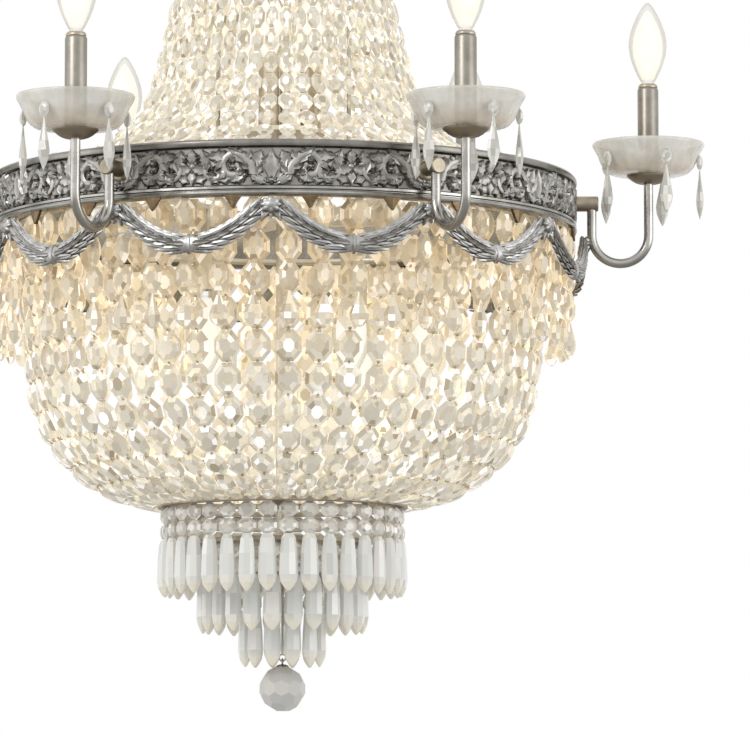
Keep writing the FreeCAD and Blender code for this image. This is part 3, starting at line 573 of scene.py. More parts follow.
def lamp_envelope():
    """A bulb's thin glass: clear where it faces you and milky towards its edge, as thin glass is."""
    material, graph, shader = new_material("lamp_envelope")
    place = graph.node("ShaderNodeTexCoord")["Object"]
    cloud = graph.node("ShaderNodeTexNoise", None, {"Vector": place, "Scale": 60.0})["Fac"]
    stops = [(0.35, (0.56, 0.52, 0.41)), (0.65, (0.66, 0.64, 0.56))]
    tone = graph.node("ShaderNodeValToRGB", {"stops": stops}, {"Fac": cloud})["Color"]
    link(graph, tone, shader, "Base Color")
    edge = graph.node("ShaderNodeLayerWeight", None, {"Blend": 0.5})["Facing"]
    link(graph, edge * 0.62 + 0.05, shader, "Alpha")
    shader.inputs["Roughness"].default_value = 0.12
    return material


LAMP_LIGHT = lamp_light()
LAMP_ENVELOPE = lamp_envelope()
print("finishes in all:", len(bpy.data.materials))


# %% [markdown]
# ## Pieces that repeat round the stem
# Nearly everything on a chandelier repeats round its stem: strands, drops, prisms, leaves and arms. One
# geometry tree does them all. Its input is a mesh of points that carry how each piece is turned and how
# large it is. The tree copies those points round the stem, puts a piece on each, twists each a little,
# stores a random tone on every face, and ends as a plain mesh.


# %% Inputs of the tree
TREE_INPUTS = (
    ("Piece", "Object"), ("Copies", "Int"), ("First Angle", "Float"), ("Twist", "Float"), ("Seed", "Int"),
    ("Finish", "Material"),
)


def empty_tree():
    """Geometry in and out, and a socket for each thing that differs from piece to piece."""
    tree = bpy.data.node_groups.new("round_the_stem", "GeometryNodeTree")
    face = tree.interface
    face.new_socket("Geometry", in_out="INPUT", socket_type="NodeSocketGeometry")
    for label, kind in TREE_INPUTS:
        face.new_socket(label, in_out="INPUT", socket_type=f"NodeSocket{kind}")
    face.new_socket("Geometry", in_out="OUTPUT", socket_type="NodeSocketGeometry")
    return tree


ROUND_TREE = empty_tree()
print("inputs of the tree:", ", ".join(label for label, _ in TREE_INPUTS))


# %% [markdown]
# Each point is copied round the stem first, so that every copy has its own number. From the number follow
# its angle and its place, and the angle is added to the turn that the point carries.

# %% Copies round the stem
def spread(graph, given):
    """The points of all copies, moved round the stem, and the angle of each."""
    points = graph.node("GeometryNodeMeshToPoints", None, {"Mesh": given["Geometry"]})["Points"]
    amount = {"Geometry": points, "Amount": given["Copies"]}
    copies = graph.node("GeometryNodeDuplicateElements", {"domain": "POINT"}, amount)
    angle = copies["Duplicate Index"] * (2 * math.pi) / given["Copies"] + given["First Angle"]
    place = graph.node("GeometryNodeInputPosition")["Position"]
    about_z = {"Vector": place, "Angle": angle}
    round_place = graph.node("ShaderNodeVectorRotate", {"rotation_type": "Z_AXIS"}, about_z)["Vector"]
    moves = {"Geometry": copies["Geometry"], "Position": round_place}
    return graph.node("GeometryNodeSetPosition", None, moves)["Geometry"], angle


def point_vector(graph, name):
    """A vector that each point carries under a name."""
    kind = {"data_type": "FLOAT_VECTOR"}
    return graph.node("GeometryNodeInputNamedAttribute", kind, {"Name": name})["Attribute"]


def random_value(graph, low, high, seed):
    limits = {"Min": low, "Max": high, "Seed": seed}
    return graph.node("FunctionNodeRandomValue", {"data_type": "FLOAT"}, limits)["Value"]


def facing(graph, given, angle):
    """How a piece is turned: as its point says, then round with its copy, and twisted a little by chance."""
    about_stem = graph.node("ShaderNodeCombineXYZ", None, {"Z": angle})["Vector"]
    both = {0: point_vector(graph, "turn"), 1: about_stem}
    euler = graph.node("ShaderNodeVectorMath", {"operation": "ADD"}, both)["Vector"]
    turn = graph.node("FunctionNodeEulerToRotation", None, {"Euler": euler})["Rotation"]
    chance = random_value(graph, -1.0, 1.0, given["Seed"])
    twist = graph.node("ShaderNodeCombineXYZ", None, {"Z": chance * given["Twist"]})["Vector"]
    spin = graph.node("FunctionNodeEulerToRotation", None, {"Euler": twist})["Rotation"]
    turns = {"Rotation": turn, "Rotate By": spin}
    return graph.node("FunctionNodeRotateRotation", {"rotation_space": "LOCAL"}, turns)["Rotation"]


print("nodes of the tree so far:", len(ROUND_TREE.nodes))


# %% [markdown]
# The pieces then go on the points and become real faces, because a random tone per face needs faces of
# their own. The tone is what makes one facet of a crystal bright and the next one dark.

# %% The whole tree
def fill_tree(tree):
    graph = Graph(tree)
    given = graph.node("NodeGroupInput")
    points, angle = spread(graph, given)
    piece = graph.node("GeometryNodeObjectInfo", None, {"Object": given["Piece"]})["Geometry"]
    sockets = {
        "Points": points,
        "Instance": piece,
        "Rotation": facing(graph, given, angle),
        "Scale": point_vector(graph, "size"),
    }
    placed = graph.node("GeometryNodeInstanceOnPoints", None, sockets)["Instances"]
    real = graph.node("GeometryNodeRealizeInstances", None, {"Geometry": placed})["Geometry"]
    tone = random_value(graph, 0.0, 1.0, given["Seed"] + 7)
    per_face = {"data_type": "FLOAT", "domain": "FACE"}
    stored = {"Geometry": real, "Name": "cut", "Value": tone}
    toned = graph.node("GeometryNodeStoreNamedAttribute", per_face, stored)["Geometry"]
    done = graph.node("GeometryNodeSetMaterial", None, {"Geometry": toned, "Material": given["Finish"]})
    out = graph.node("NodeGroupOutput")
    tree.links.new(done["Geometry"].socket, out.node.inputs["Geometry"])


fill_tree(ROUND_TREE)
print("nodes of the tree:", len(ROUND_TREE.nodes))


# %% [markdown]
# A piece is a plain mesh first. Its doubled corners are joined and its faces turned outwards, and a turned
# piece is shaded smooth up to an angle, so that its edges stay sharp without more faces.

# %% From vertices to an object
def mesh_object(name, vertices, faces, smooth=False, sharp=38):
    mesh = bpy.data.meshes.new(name)
    mesh.from_pydata([tuple(v) for v in vertices], [], faces)
    mesh.validate()
    made = bmesh.new()
    made.from_mesh(mesh)
    bmesh.ops.remove_doubles(made, verts=made.verts, dist=1e-7)
    bmesh.ops.recalc_face_normals(made, faces=made.faces)
    made.to_mesh(mesh)
    made.free()
    if smooth:
        mesh.shade_smooth()
        mesh.set_sharp_from_angle(angle=math.radians(sharp))
    obj = bpy.data.objects.new(name, mesh)
    bpy.context.scene.collection.objects.link(obj)
    return obj


def marked_points(name, rows):
    """A mesh of points that carry how each piece is turned and how large it is."""
    mesh = bpy.data.meshes.new(f"{name}_points")
    mesh.from_pydata([tuple(row[0]) for row in rows], [], [])
    for label, part in (("turn", 1), ("size", 2)):
        attribute = mesh.attributes.new(label, "FLOAT_VECTOR", "POINT")
        for item, row in zip(attribute.data, rows):
            item.vector = row[part]
    return mesh


def set_input(modifier, label, value):
    sockets = ROUND_TREE.interface.items_tree
    socket = next(item for item in sockets if item.name == label and item.in_out == "INPUT")
    modifier[socket.identifier] = value


print("meshes so far:", len(bpy.data.meshes))

# %% Use the tree
AT_PLACE = [((0, 0, 0), (0, 0, 0), (1, 1, 1))]
STRANDS = 54


def round_the_stem(name, rows, piece, copies, finish, twist=0.0, first=0.0, seed=1, smooth=False, sharp=38):
    """A plain mesh of a piece put at each row (place, turn, size), and all rows repeated round the stem.
    piece is an object, which is used up, or its vertices and faces."""
    if isinstance(piece, tuple):
        piece = mesh_object(f"{name}_piece", *piece, smooth=smooth, sharp=sharp)
    made = bpy.data.objects.new(name, marked_points(name, rows))
    bpy.context.scene.collection.objects.link(made)
    modifier = made.modifiers.new("round", "NODES")
    modifier.node_group = ROUND_TREE
    values = (piece, copies, first, twist, seed, finish)
    for (label, _), value in zip(TREE_INPUTS, values):
        set_input(modifier, label, value)
    bpy.context.view_layer.update()
    evaluated = made.evaluated_get(bpy.context.evaluated_depsgraph_get())
    plain = bpy.data.meshes.new_from_object(evaluated)
    made.modifiers.clear()
    made.data = plain
    plain.name = name
    bpy.data.objects.remove(piece)
    print(f"{name}: {len(plain.polygons)} faces")
    return made


def keep(obj, body, slot, *nodes):
    """A finished piece rides on its body and stands for its CAD nodes. slot is not used."""
    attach(obj, body)
    if nodes:
        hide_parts(*nodes)


print("strands round the stem:", STRANDS)

# %% [markdown]
# ## Strands
# A strand hangs straight for most of its length and then curves to its ring, so its path is a line and the
# arc that leaves it smoothly. The beads are cut octagons, tip to tip on pins, and they get narrower where
# the strands crowd together.

# %% Strand paths
TENT_TOP = (0.0795, BAND_LEVEL + 0.2997)
TENT_SHOULDER = (0.115, BAND_LEVEL + 0.149)
TENT_FOOT = (0.2600, BAND_LEVEL + 0.0503)
TENT_PITCH = 0.0222
BASKET_TOP = (0.243, BAND_LEVEL + 0.0017)
BASKET_BELLY = (0.229, BAND_LEVEL - 0.140)
BASKET_FOOT = (0.1143, BAND_LEVEL - 0.2470)
BASKET_PITCH = 0.0286


class Path:
    """A straight run from start to shoulder and the arc that leaves it smoothly for the end."""

    def __init__(self, start, shoulder, end):
        self.start, self.shoulder, end = Vector(start), Vector(shoulder), Vector(end)
        self.along = (self.shoulder - self.start).normalized()
        self.side = Vector((self.along.y, -self.along.x))
        chord = end - self.shoulder
        if chord.dot(self.side) < 0:
            self.side = -self.side
        self.radius = chord.length_squared / (2 * chord.dot(self.side))
        self.run = (self.shoulder - self.start).length
        centre = self.shoulder + self.side * self.radius
        cosine = (self.shoulder - centre).dot(end - centre) / self.radius**2
        self.sweep = math.acos(max(-1.0, min(1.0, cosine)))
        self.length = self.run + self.radius * self.sweep

    def at(self, distance):
        """The point and direction at a distance along the path."""
        if distance <= self.run:
            return self.start + self.along * distance, self.along
        angle = (distance - self.run) / self.radius
        point = self.shoulder + self.side * self.radius * (1 - math.cos(angle))
        point = point + self.along * self.radius * math.sin(angle)
        return point, self.along * math.cos(angle) + self.side * math.sin(angle)


tent_path = Path(TENT_TOP, TENT_SHOULDER, TENT_FOOT)
basket_path = Path(BASKET_TOP, BASKET_BELLY, BASKET_FOOT)
print("strand lengths:", round(tent_path.length, 3), round(basket_path.length, 3))


# %% Beads along a path
def strand_rows(path, pitch, width, depth, share):
    """A bead at even steps of about a pitch, as wide as wanted or as its neighbours leave room for."""
    rows = []
    number = round(path.length / pitch)
    step = path.length / number
    for index in range(number):
        point, along = path.at((index + 0.5) * step)
        room = 0.99 * 2 * math.pi * (point.x - depth / 2) / STRANDS
        lean = math.atan2(along.x, along.y)
        rows.append(((point.x, 0, point.y), (0, lean, 0), (depth, min(width, room), step * share)))
    return rows


tent_rows = strand_rows(tent_path, TENT_PITCH, 0.0150, 0.0068, 0.96)
basket_rows = strand_rows(basket_path, BASKET_PITCH, 0.0230, 0.0095, 0.98)
print("beads on a strand of the tent and of the basket:", len(tent_rows), len(basket_rows))

# %% [markdown]
# A chandelier's octagon is a flat button with a table and sloping facets on both sides. A modelled bevel
# would round it, so its facets are written as five octagons one above the other.

# %% A cut octagon
def button():
    """A cut octagon one unit wide (Y), long (Z) and deep (X), with a table and two rows of facets a side."""
    layers = ((-0.5, 0.42), (-0.34, 0.74), (0.0, 1.0), (0.34, 0.74), (0.5, 0.42))
    edge, near = 0.5, 0.20
    outline = [(near, edge), (edge, near), (edge, -near), (near, -edge)]
    outline += [(-y, -z) for y, z in outline]
    vertices, faces = [], []
    for depth, share in layers:
        vertices += [(depth, y * share, z * share) for y, z in outline]
    for layer in range(len(layers) - 1):
        row = layer * 8
        for step in range(8):
            after = (step + 1) % 8
            faces.append((row + step, row + after, row + 8 + after, row + 8 + step))
    faces.append(tuple(range(8)))
    faces.append(tuple(range(len(vertices) - 8, len(vertices))))
    return vertices, faces


print("facets of an octagon:", len(button()[1]))

# %% Beads of the tent and of the basket
tent = round_the_stem("tent_beads", tent_rows, button(), STRANDS, WARM_CRYSTAL, 0.25, seed=3)
basket = round_the_stem("basket_beads", basket_rows, button(), STRANDS, WARM_CRYSTAL, 0.2, seed=5)
keep(tent, "fixture", "crystal", "upper_strands")
keep(basket, "fixture", "crystal", "basket_strands")

# %% [markdown]
# Brass pins join the beads tip to tip. A bent wire would be a hair at this size, so each pin is a waisted
# six-sided bar, and only the basket shows them, where light comes from behind.

# %% A stone from stacked rings
def stacked(rings, sides):
    """A stone from rings of (height, half width across Y, half depth along X). No width is a point."""
    rows, vertices = [], []
    for height, half_width, half_depth in rings:
        if half_width == 0:
            rows.append([len(vertices)])
            vertices.append((0, 0, height))
            continue
        row = []
        for step in range(sides):
            angle = 2 * math.pi * step / sides
            row.append(len(vertices))
            vertices.append((half_depth * math.sin(angle), half_width * math.cos(angle), height))
        rows.append(row)
    faces = []
    for low, high in zip(rows, rows[1:]):
        for step in range(sides):
            after = (step + 1) % sides
            corners = ((low, step), (low, after), (high, after), (high, step))
            loop = list(dict.fromkeys(row[corner % len(row)] for row, corner in corners))
            if len(loop) > 2:
                faces.append(tuple(loop))
    for row in (rows[0], rows[-1]):
        if len(row) > 2:
            faces.append(tuple(row))
    return vertices, faces


PIN_SHAPE = stacked([(-0.5, 0.5, 0.5), (0, 0.32, 0.32), (0.5, 0.5, 0.5)], 6)
print("faces of a pin:", len(PIN_SHAPE[1]))

# %% Pins between the beads
PIN_SIZE = (0.0040, 0.0036, 0.0052)


def pin_rows(path, pitch):
    """A pin at each joint between two beads of a strand."""
    number = round(path.length / pitch)
    step = path.length / number
    rows = []
    for index in range(1, number):
        point, along = path.at(index * step)
        lean = math.atan2(along.x, along.y)
        rows.append(((point.x, 0, point.y), (0, lean, 0), PIN_SIZE))
    return rows


pin_places = pin_rows(basket_path, BASKET_PITCH)
pins = round_the_stem("basket_pins", pin_places, PIN_SHAPE, STRANDS, PIN_BRASS, seed=6)
keep(pins, "fixture", "nickel")

# %% [markdown]
# ## Fringe
# Under the band hang strings of three octagons and a pear drop, one for each strand. They are straight, so
# their rows need no path, only a level for each octagon.

# %% Fringe under the band
FRINGE_RADIUS = 0.2625
FRINGE_LENGTH = 0.0272
FRINGE_OCTAGONS = 3
FRINGE_WIDTH = 0.0178
PEAR_SIZE = (0.0105, 0.0172, 0.0305)
PEAR = [
    (-1.0, 0, 0), (-0.95, 0.22, 0.22), (-0.80, 0.46, 0.46), (-0.62, 0.50, 0.50), (-0.38, 0.32, 0.32),
    (-0.12, 0.13, 0.13), (0, 0.06, 0.06),
]


def fringe_rows():
    rows = []
    size = (FRINGE_WIDTH * 0.5, FRINGE_WIDTH, FRINGE_LENGTH * 0.97)
    for index in range(FRINGE_OCTAGONS):
        level = BAND_LEVEL - 0.0003 - (index + 0.5) * FRINGE_LENGTH
        rows.append(((FRINGE_RADIUS, 0, level), (0, 0, 0), size))
    return rows


fringe = round_the_stem("fringe_octagons", fringe_rows(), button(), STRANDS, WARM_CRYSTAL, 0.4, seed=8)
keep(fringe, "fixture", "crystal", "fringe_beads")
pear_level = BAND_LEVEL - FRINGE_OCTAGONS * FRINGE_LENGTH - 0.0006
pear_row = [((FRINGE_RADIUS, 0, pear_level), (0, 0, 0), PEAR_SIZE)]
pears = round_the_stem("fringe_pears", pear_row, stacked(PEAR, 8), STRANDS, WARM_CRYSTAL, 0.5, seed=9)
keep(pears, "fixture", "crystal", "fringe_drops")

# %% [markdown]
# ## Prisms
# Below the basket the strings get shorter step by step. Each string is two octagons and a long prism that is
# slim at its neck, widest near its foot and cut to a point. Light gathers in the point, so the prism
# carries the attribute "foot", which a stack of rings can give to its lowest corners.

# %% One prism
PRISM = [
    (-1.0, 0.07, 0.07), (-0.94, 0.24, 0.22), (-0.85, 0.42, 0.38), (-0.72, 0.50, 0.47), (-0.34, 0.46, 0.42),
    (-0.08, 0.38, 0.34), (0, 0.24, 0.20),
]
FOOT_START = 0.72
FOOT_FADE = 0.22


def prism_piece(name):
    """A prism whose attribute "foot" rises towards its tip, where the light gathers and looks warm."""
    piece = mesh_object(name, *stacked(PRISM, 8))
    foot = piece.data.attributes.new("foot", "FLOAT", "POINT")
    for item, corner in zip(foot.data, piece.data.vertices):
        item.value = max(0.0, min(1.0, (-corner.co.z - FOOT_START) / FOOT_FADE))
    return piece


print("rings of a prism:", len(PRISM))

# %% Prism tiers
OCTAGON_LENGTH = 0.0147
OCTAGON_DEPTH = 0.0065


def prism_tier(name, node, radius, copies, first, width, octagons=2, seed=1):
    """A ring of strings as high as a CAD node: octagons above, and a prism down to its lowest point."""
    bottom, top = (corner[2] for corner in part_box(node))
    turn = math.radians(first)
    rows = []
    for index in range(octagons):
        level = top - OCTAGON_LENGTH * (index + 0.5)
        rows.append(((radius, 0, level), (0, 0, 0), (OCTAGON_DEPTH, width, OCTAGON_LENGTH * 0.96)))
    beads = round_the_stem(f"{name}_octagons", rows, button(), copies, COOL_CRYSTAL, 0.15, turn, seed)
    start = top - OCTAGON_LENGTH * octagons
    row = [((radius, 0, start), (0, 0, 0), (width * 0.75, width * 0.97, start - bottom))]
    piece = prism_piece(f"{name}_prism")
    prisms = round_the_stem(f"{name}_cut_prisms", row, piece, copies, PRISM_CRYSTAL, 0.3, turn, seed + 1)
    keep(beads, "fixture", "crystal", node)
    keep(prisms, "fixture", "crystal")


prism_tier("tier_1", "tier_1_prisms", 0.108, 36, 5, 0.0176, seed=11)
prism_tier("tier_2", "tier_2_prisms", 0.073, 24, 10, 0.0176, seed=13)
prism_tier("tier_3", "tier_3_prisms", 0.035, 12, 17, 0.0168, seed=15)
prism_tier("centre", "centre_prisms", 0.012, 4, 45, 0.0115, octagons=1, seed=17)


# %% [markdown]
# ## Ball
# The ball is a sphere whose surface is cut into flat, mostly six-sided facets. Those are what the faces
# round each corner of a fine ball of triangles make when their middles are joined, which keeps them all
# nearly the same size.

# %% Crystal ball
def cut_ball(radius, centre):
    """A ball of flat facets, one for each corner of a ball of triangles."""
    source = bmesh.new()
    bmesh.ops.create_icosphere(source, subdivisions=2, radius=1.0)
    source.faces.ensure_lookup_table()
    centres = [face.calc_center_median().normalized() for face in source.faces]
    facets = []
    for corner in source.verts:
        normal = corner.co.normalized()
        across = normal.orthogonal().normalized()
        other = normal.cross(across)
        around = [face.index for face in corner.link_faces]
        around.sort(key=lambda item: math.atan2(centres[item].dot(other), centres[item].dot(across)))
        facets.append(tuple(around))
    source.free()
    return [centre + point * radius for point in centres], facets


BALL_LOW, BALL_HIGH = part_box("crystal_ball")
BALL_RADIUS = (BALL_HIGH[0] - BALL_LOW[0]) / 2
BALL_CENTRE = Vector((0, 0, BALL_LOW[2] + BALL_RADIUS))
ball = round_the_stem("cut_ball", AT_PLACE, cut_ball(BALL_RADIUS, BALL_CENTRE), 1, BALL_CRYSTAL, seed=21)
keep(ball, "crystal_ball", "crystal", "crystal_ball")

# %% [markdown]
# A small cap with an eye holds the ball on its hook. Both are turned: the eye is a ring, laid on its side.

# %% Turned pieces
def turned(section, steps, flutes=0, flute_depth=0.0, flute_from=0.0, lobes=0, lobe_depth=0.0):
    """Vertices and faces of a closed section of (radius, height) points turned about Z. Flutes and lobes
    press the wall in evenly round the axis, flutes only below the lip."""
    vertices, faces = [], []
    count = len(section)
    top = max(height for radius, height in section)
    for step in range(steps):
        angle = 2 * math.pi * step / steps
        for radius, height in section:
            press = 0.0
            if flutes and radius > flute_from:
                fade = min(1.0, (top - height) / (0.25 * top))
                press = flute_depth * abs(math.sin(flutes * angle / 2)) * fade
            if lobes and radius > flute_from:
                press += lobe_depth * (0.5 - 0.5 * math.cos(lobes * angle))
            reach = radius - press
            vertices.append((reach * math.cos(angle), reach * math.sin(angle), height))
    for step in range(steps):
        after = (step + 1) % steps
        for row in range(count):
            below = (row + 1) % count
            if section[row][0] == 0 and section[below][0] == 0:
                continue
            here, there = step * count, after * count
            faces.append((here + row, there + row, there + below, here + below))
    return vertices, faces


def circle(reach, wire):
    """The section of a ring of round wire."""
    steps = 12
    angles = [2 * math.pi * step / steps for step in range(steps)]
    return [(reach + wire * math.cos(angle), wire * math.sin(angle)) for angle in angles]


print("corners of a ring's section:", len(circle(2.0, 1.0)))

# %% Cap and eye of the ball
BALL_TOP = BALL_CENTRE.z + BALL_RADIUS
EYE_WIRE = 0.8
EYE_RISE = 3.0
EYE_RADIUS = (BALL_HIGH[2] - BALL_TOP) / MM - EYE_RISE - EYE_WIRE
cap_section = [(0, -2.0), (5.6, -2.0), (6.0, -0.8), (4.8, 0.3), (2.6, 1.0), (1.2, 1.2), (0, 1.2)]
cap_place = [((0, 0, BALL_TOP), (0, 0, 0), (MM, MM, MM))]
cap = round_the_stem("ball_cap", cap_place, turned(cap_section, 24), 1, NICKEL, smooth=True)
keep(cap, "crystal_ball", "nickel")
eye_place = [((0, 0, BALL_TOP + EYE_RISE * MM), (0, math.pi / 2, 0), (MM, MM, MM))]
eye_piece = turned(circle(EYE_RADIUS, EYE_WIRE), 36)
eye = round_the_stem("ball_eye", eye_place, eye_piece, 1, NICKEL, smooth=True, sharp=80)
keep(eye, "crystal_ball", "nickel")
print("the ball's eye is", round(EYE_RADIUS, 3), "mm in radius")

# %% [markdown]
# ## The band and its frieze
# The band is turned: its rims are a profile swept round the stem. The frieze between them is cast leaf
# work. It is laid out flat once, from leaves and scrolls, and mirrored about its middle. Wrapping it round
# the band and repeating it twelve times puts a palm leaf over each garland knot.

# %% Band shell
RECESS_LOW = 0.0095
RECESS_HIGH = 0.0418
RECESS_RADIUS = 0.262
BAND_SECTION = [
    (259, 0), (266.5, 0), (268.5, 0.8), (269, 2.2), (268.4, 4.0), (267.0, 4.7), (267.0, 5.1), (268.4, 6.0),
    (268.3, 8.0), (266.8, 9.1), (264.5, 9.4), (264.5, 41.6), (266.2, 41.9), (268.4, 43.1), (269, 45),
    (268.7, 47.4), (267.3, 49), (259, 49),
]
BAND_PLACE = [((0, 0, BAND_LEVEL), (0, 0, 0), (MM, MM, MM))]


def shade_faces(obj, dark, test):
    """Gives the faces that a test picks by their middle a darker finish, which paints shade on them."""
    obj.data.materials.append(dark)
    slot = len(obj.data.materials) - 1
    for face in obj.data.polygons:
        if test(face):
            face.material_index = slot


def in_recess(face):
    x, y, z = face.center
    return RECESS_LOW < z - BAND_LEVEL < RECESS_HIGH and math.hypot(x, y) > RECESS_RADIUS


def in_upper_rim(face):
    return face.center.z - BAND_LEVEL > RECESS_HIGH


shell = round_the_stem("band_shell", BAND_PLACE, turned(BAND_SECTION, 180), 1, NICKEL, smooth=True, sharp=30)
# The wall behind the frieze is painted dark: shade behind the leaves, with some patina.
shade_faces(shell, PATINA_AND_SHADE, in_recess)
# The upper rim takes a darker copy of the nickel, as painted shade.
shade_faces(shell, SHADED_RIM_NICKEL, in_upper_rim)
keep(shell, "fixture", "nickel", "main_band")


# %% [markdown]
# A carved leaf has a groove along its middle and lobes on its edge. A scroll is a stalk swept along a
# smooth line, thinner towards its eye. Both are skins over rings, which stay light enough to be repeated
# hundreds of times.

# %% Carved leaves
def lofted(rings):
    """A closed skin over rings that have the same number of points each."""
    count = len(rings[0])
    vertices = [point for ring in rings for point in ring]
    faces = []
    for index in range(len(rings) - 1):
        for step in range(count):
            after = (step + 1) % count
            base = index * count
            faces.append((base + step, base + after, base + count + after, base + count + step))
    faces.append(tuple(range(count)))
    faces.append(tuple(range((len(rings) - 1) * count, len(rings) * count)))
    return vertices, faces


def leaf(lobes, curl, rows=8):
    """A carved leaf one unit long (Z) and wide (Y). It stands one unit proud (X) and its tip curls out."""
    rings = []
    for row in range(rows + 1):
        along = row / rows
        wide = 0.5 * math.sin(math.pi * (0.08 + 0.90 * along) ** 0.85)
        wide = max(wide * (1 + 0.24 * math.cos(2 * math.pi * lobes * along)), 0.05)
        lift = curl * along**2
        high = 0.45 + 0.55 * math.sin(math.pi * along)
        ring = [(-0.25 + lift * 0.6, -wide * 0.9, along)]
        for across, rise in ((-1.0, 0.12), (-0.55, 0.95), (0.0, 0.50), (0.55, 0.95), (1.0, 0.12)):
            ring.append((lift + high * rise, wide * across, along))
        ring.append((-0.25 + lift * 0.6, wide * 0.9, along))
        rings.append(ring)
    return lofted(rings)


BROAD, SLIM, FROND = leaf(3, 0.5), leaf(2, 0.3), leaf(4, 0.9, rows=10)
print("faces of the leaves:", len(BROAD[1]), len(SLIM[1]), len(FROND[1]))


# %% Swept pieces
def swept(points, radii, sides, flat=1.0):
    """Vertices and faces of a tube along points. radii is one radius per point, flat squashes it along X."""
    vertices, faces = [], []
    points = [Vector(point) for point in points]
    across = None
    for index, point in enumerate(points):
        ahead = points[min(index + 1, len(points) - 1)] - points[max(index - 1, 0)]
        ahead.normalize()
        if across is None:
            across = Vector((1, 0, 0)) if abs(ahead.x) < 0.9 else Vector((0, 1, 0))
        across = (across - ahead * across.dot(ahead)).normalized()
        other = ahead.cross(across)
        for step in range(sides):
            angle = 2 * math.pi * step / sides
            sideways = across * (flat * radii[index] * math.cos(angle))
            vertices.append(point + sideways + other * (radii[index] * math.sin(angle)))
    for index in range(len(points) - 1):
        for step in range(sides):
            after = (step + 1) % sides
            base = index * sides
            faces.append((base + step, base + after, base + sides + after, base + sides + step))
    faces.append(tuple(range(sides)))
    faces.append(tuple(range((len(points) - 1) * sides, len(points) * sides)))
    return vertices, faces


print("faces of a straight bar:", len(swept([(0, 0, 0), (0, 0, 1)], [1, 1], 6)[1]))


# %% Winding stalks
def smooth_line(points, pieces):
    """Points on a smooth curve through the given ones."""
    points = [Vector(point) for point in points]
    ends = [points[0] * 2 - points[1], *points, points[-1] * 2 - points[-2]]
    line = []
    for index in range(1, len(ends) - 2):
        before, first, second, beyond = ends[index - 1 : index + 3]
        for step in range(pieces):
            t = step / pieces
            bend = (2 * before - 5 * first + 4 * second - beyond) * t * t
            twist = (3 * first - before - 3 * second + beyond) * t**3
            line.append(0.5 * (2 * first + (second - before) * t + bend + twist))
    line.append(points[-1])
    return line


def scroll(points, thick, thin):
    """A stalk that winds up flat, thick where it starts and thin in its eye."""
    line = smooth_line([(1.4, y, z) for y, z in points], 4)
    last = len(line) - 1
    radii = [thick + (thin - thick) * index / last for index in range(last + 1)]
    return swept(line, radii, 6, flat=0.8)


print("points on a smooth line through three:", len(smooth_line([(0, 0, 0), (0, 1, 0), (0, 1, 1)], 4)))


# %% Flowers, and the strip that holds the relief
def rosette(petals):
    """A small flower one unit across that faces along X."""
    profile = [(0, -0.2), (0.5, -0.2), (0.5, 0.1), (0.36, 0.42), (0.2, 0.22), (0.12, 0.5), (0, 0.6)]
    vertices, faces = turned(profile, petals * 4, lobes=petals, lobe_depth=0.14, flute_from=0.3)
    return [(z, y, x) for x, y, z in vertices], faces


class Ornament:
    """Relief pieces laid out on a flat strip, then wrapped round the band. Millimetres: X stands out from
    the strip, Y runs along it and Z is up."""

    def __init__(self):
        self.vertices = []
        self.faces = []

    def add(self, shape, move=(0, 0, 0), turn=(0, 0, 0), size=(1, 1, 1)):
        vertices, faces = shape
        matrix = Matrix.Translation(move) @ Euler(turn).to_matrix().to_4x4() @ Matrix.Diagonal((*size, 1))
        first = len(self.vertices)
        self.vertices += [matrix @ Vector(v) for v in vertices]
        self.faces += [tuple(first + corner for corner in face) for face in faces]

    def both(self, shape, move, turn, size):
        """The piece and its mirror image across the strip's middle."""
        self.add(shape, move, turn, size)
        mirrored = (move[0], -move[1], move[2])
        self.add(shape, mirrored, (-turn[0], turn[1], -turn[2]), (size[0], -size[1], size[2]))

    def wrapped(self, name, radius, level, smooth=True, sharp=50):
        vertices = []
        for x, y, z in self.vertices:
            angle = y * MM / radius
            reach = radius + x * MM
            vertices.append((reach * math.cos(angle), reach * math.sin(angle), level + z * MM))
        return mesh_object(name, vertices, self.faces, smooth=smooth, sharp=sharp)


print("faces of a flower:", len(rosette(6)[1]))

# %% [markdown]
# One twelfth of the frieze, read from the photograph: a palm leaf in the middle, two winding stalks on each
# side of it with small leaves along them, larger leaves that fill the spaces, and a flower where two parts
# meet. Places are in millimetres along the band and above its foot.

# %% Stalks and small leaves of the frieze
FRONT_STALK = [
    (7, 12.5), (14, 16), (18, 26), (26, 35), (36, 35.5), (42, 28.5), (39, 20), (31, 18), (27.5, 23.5),
    (31, 27.5),
]
BACK_STALK = [(40, 20), (47, 15), (55, 17), (58, 24), (53, 29.5), (49.5, 26)]
SMALL_LEAVES = (
    (10.0, 12.5, -1.00, 8.0, 11.0), (13.5, 17.0, 0.50, 8.0, 12.0), (17.5, 23.0, -1.20, 8.0, 11.0),
    (20.5, 30.0, 0.30, 8.0, 10.0), (27.0, 35.0, -0.95, 8.5, 12.5), (41.5, 31.0, -2.50, 8.0, 12.0),
    (38.5, 20.5, -2.30, 7.5, 10.0), (31.0, 18.5, 1.30, 7.0, 9.0), (46.5, 15.5, -1.20, 7.5, 11.0),
    (57.0, 21.0, 0.35, 7.5, 11.0), (30.5, 33.5, -2.20, 6.5, 8.0),
)


def add_stalks(work):
    for side in (1, -1):
        for line, thick, thin in ((FRONT_STALK, 3.9, 2.1), (BACK_STALK, 3.4, 1.9)):
            work.add(scroll([(y * side, z) for y, z in line], thick, thin))
    for y, z, tilt, wide, high in SMALL_LEAVES:
        work.both(SLIM, (1.3, y, z), (tilt, 0, 0), (3.2, wide, high))


print("small leaves on the stalks:", 2 * len(SMALL_LEAVES))

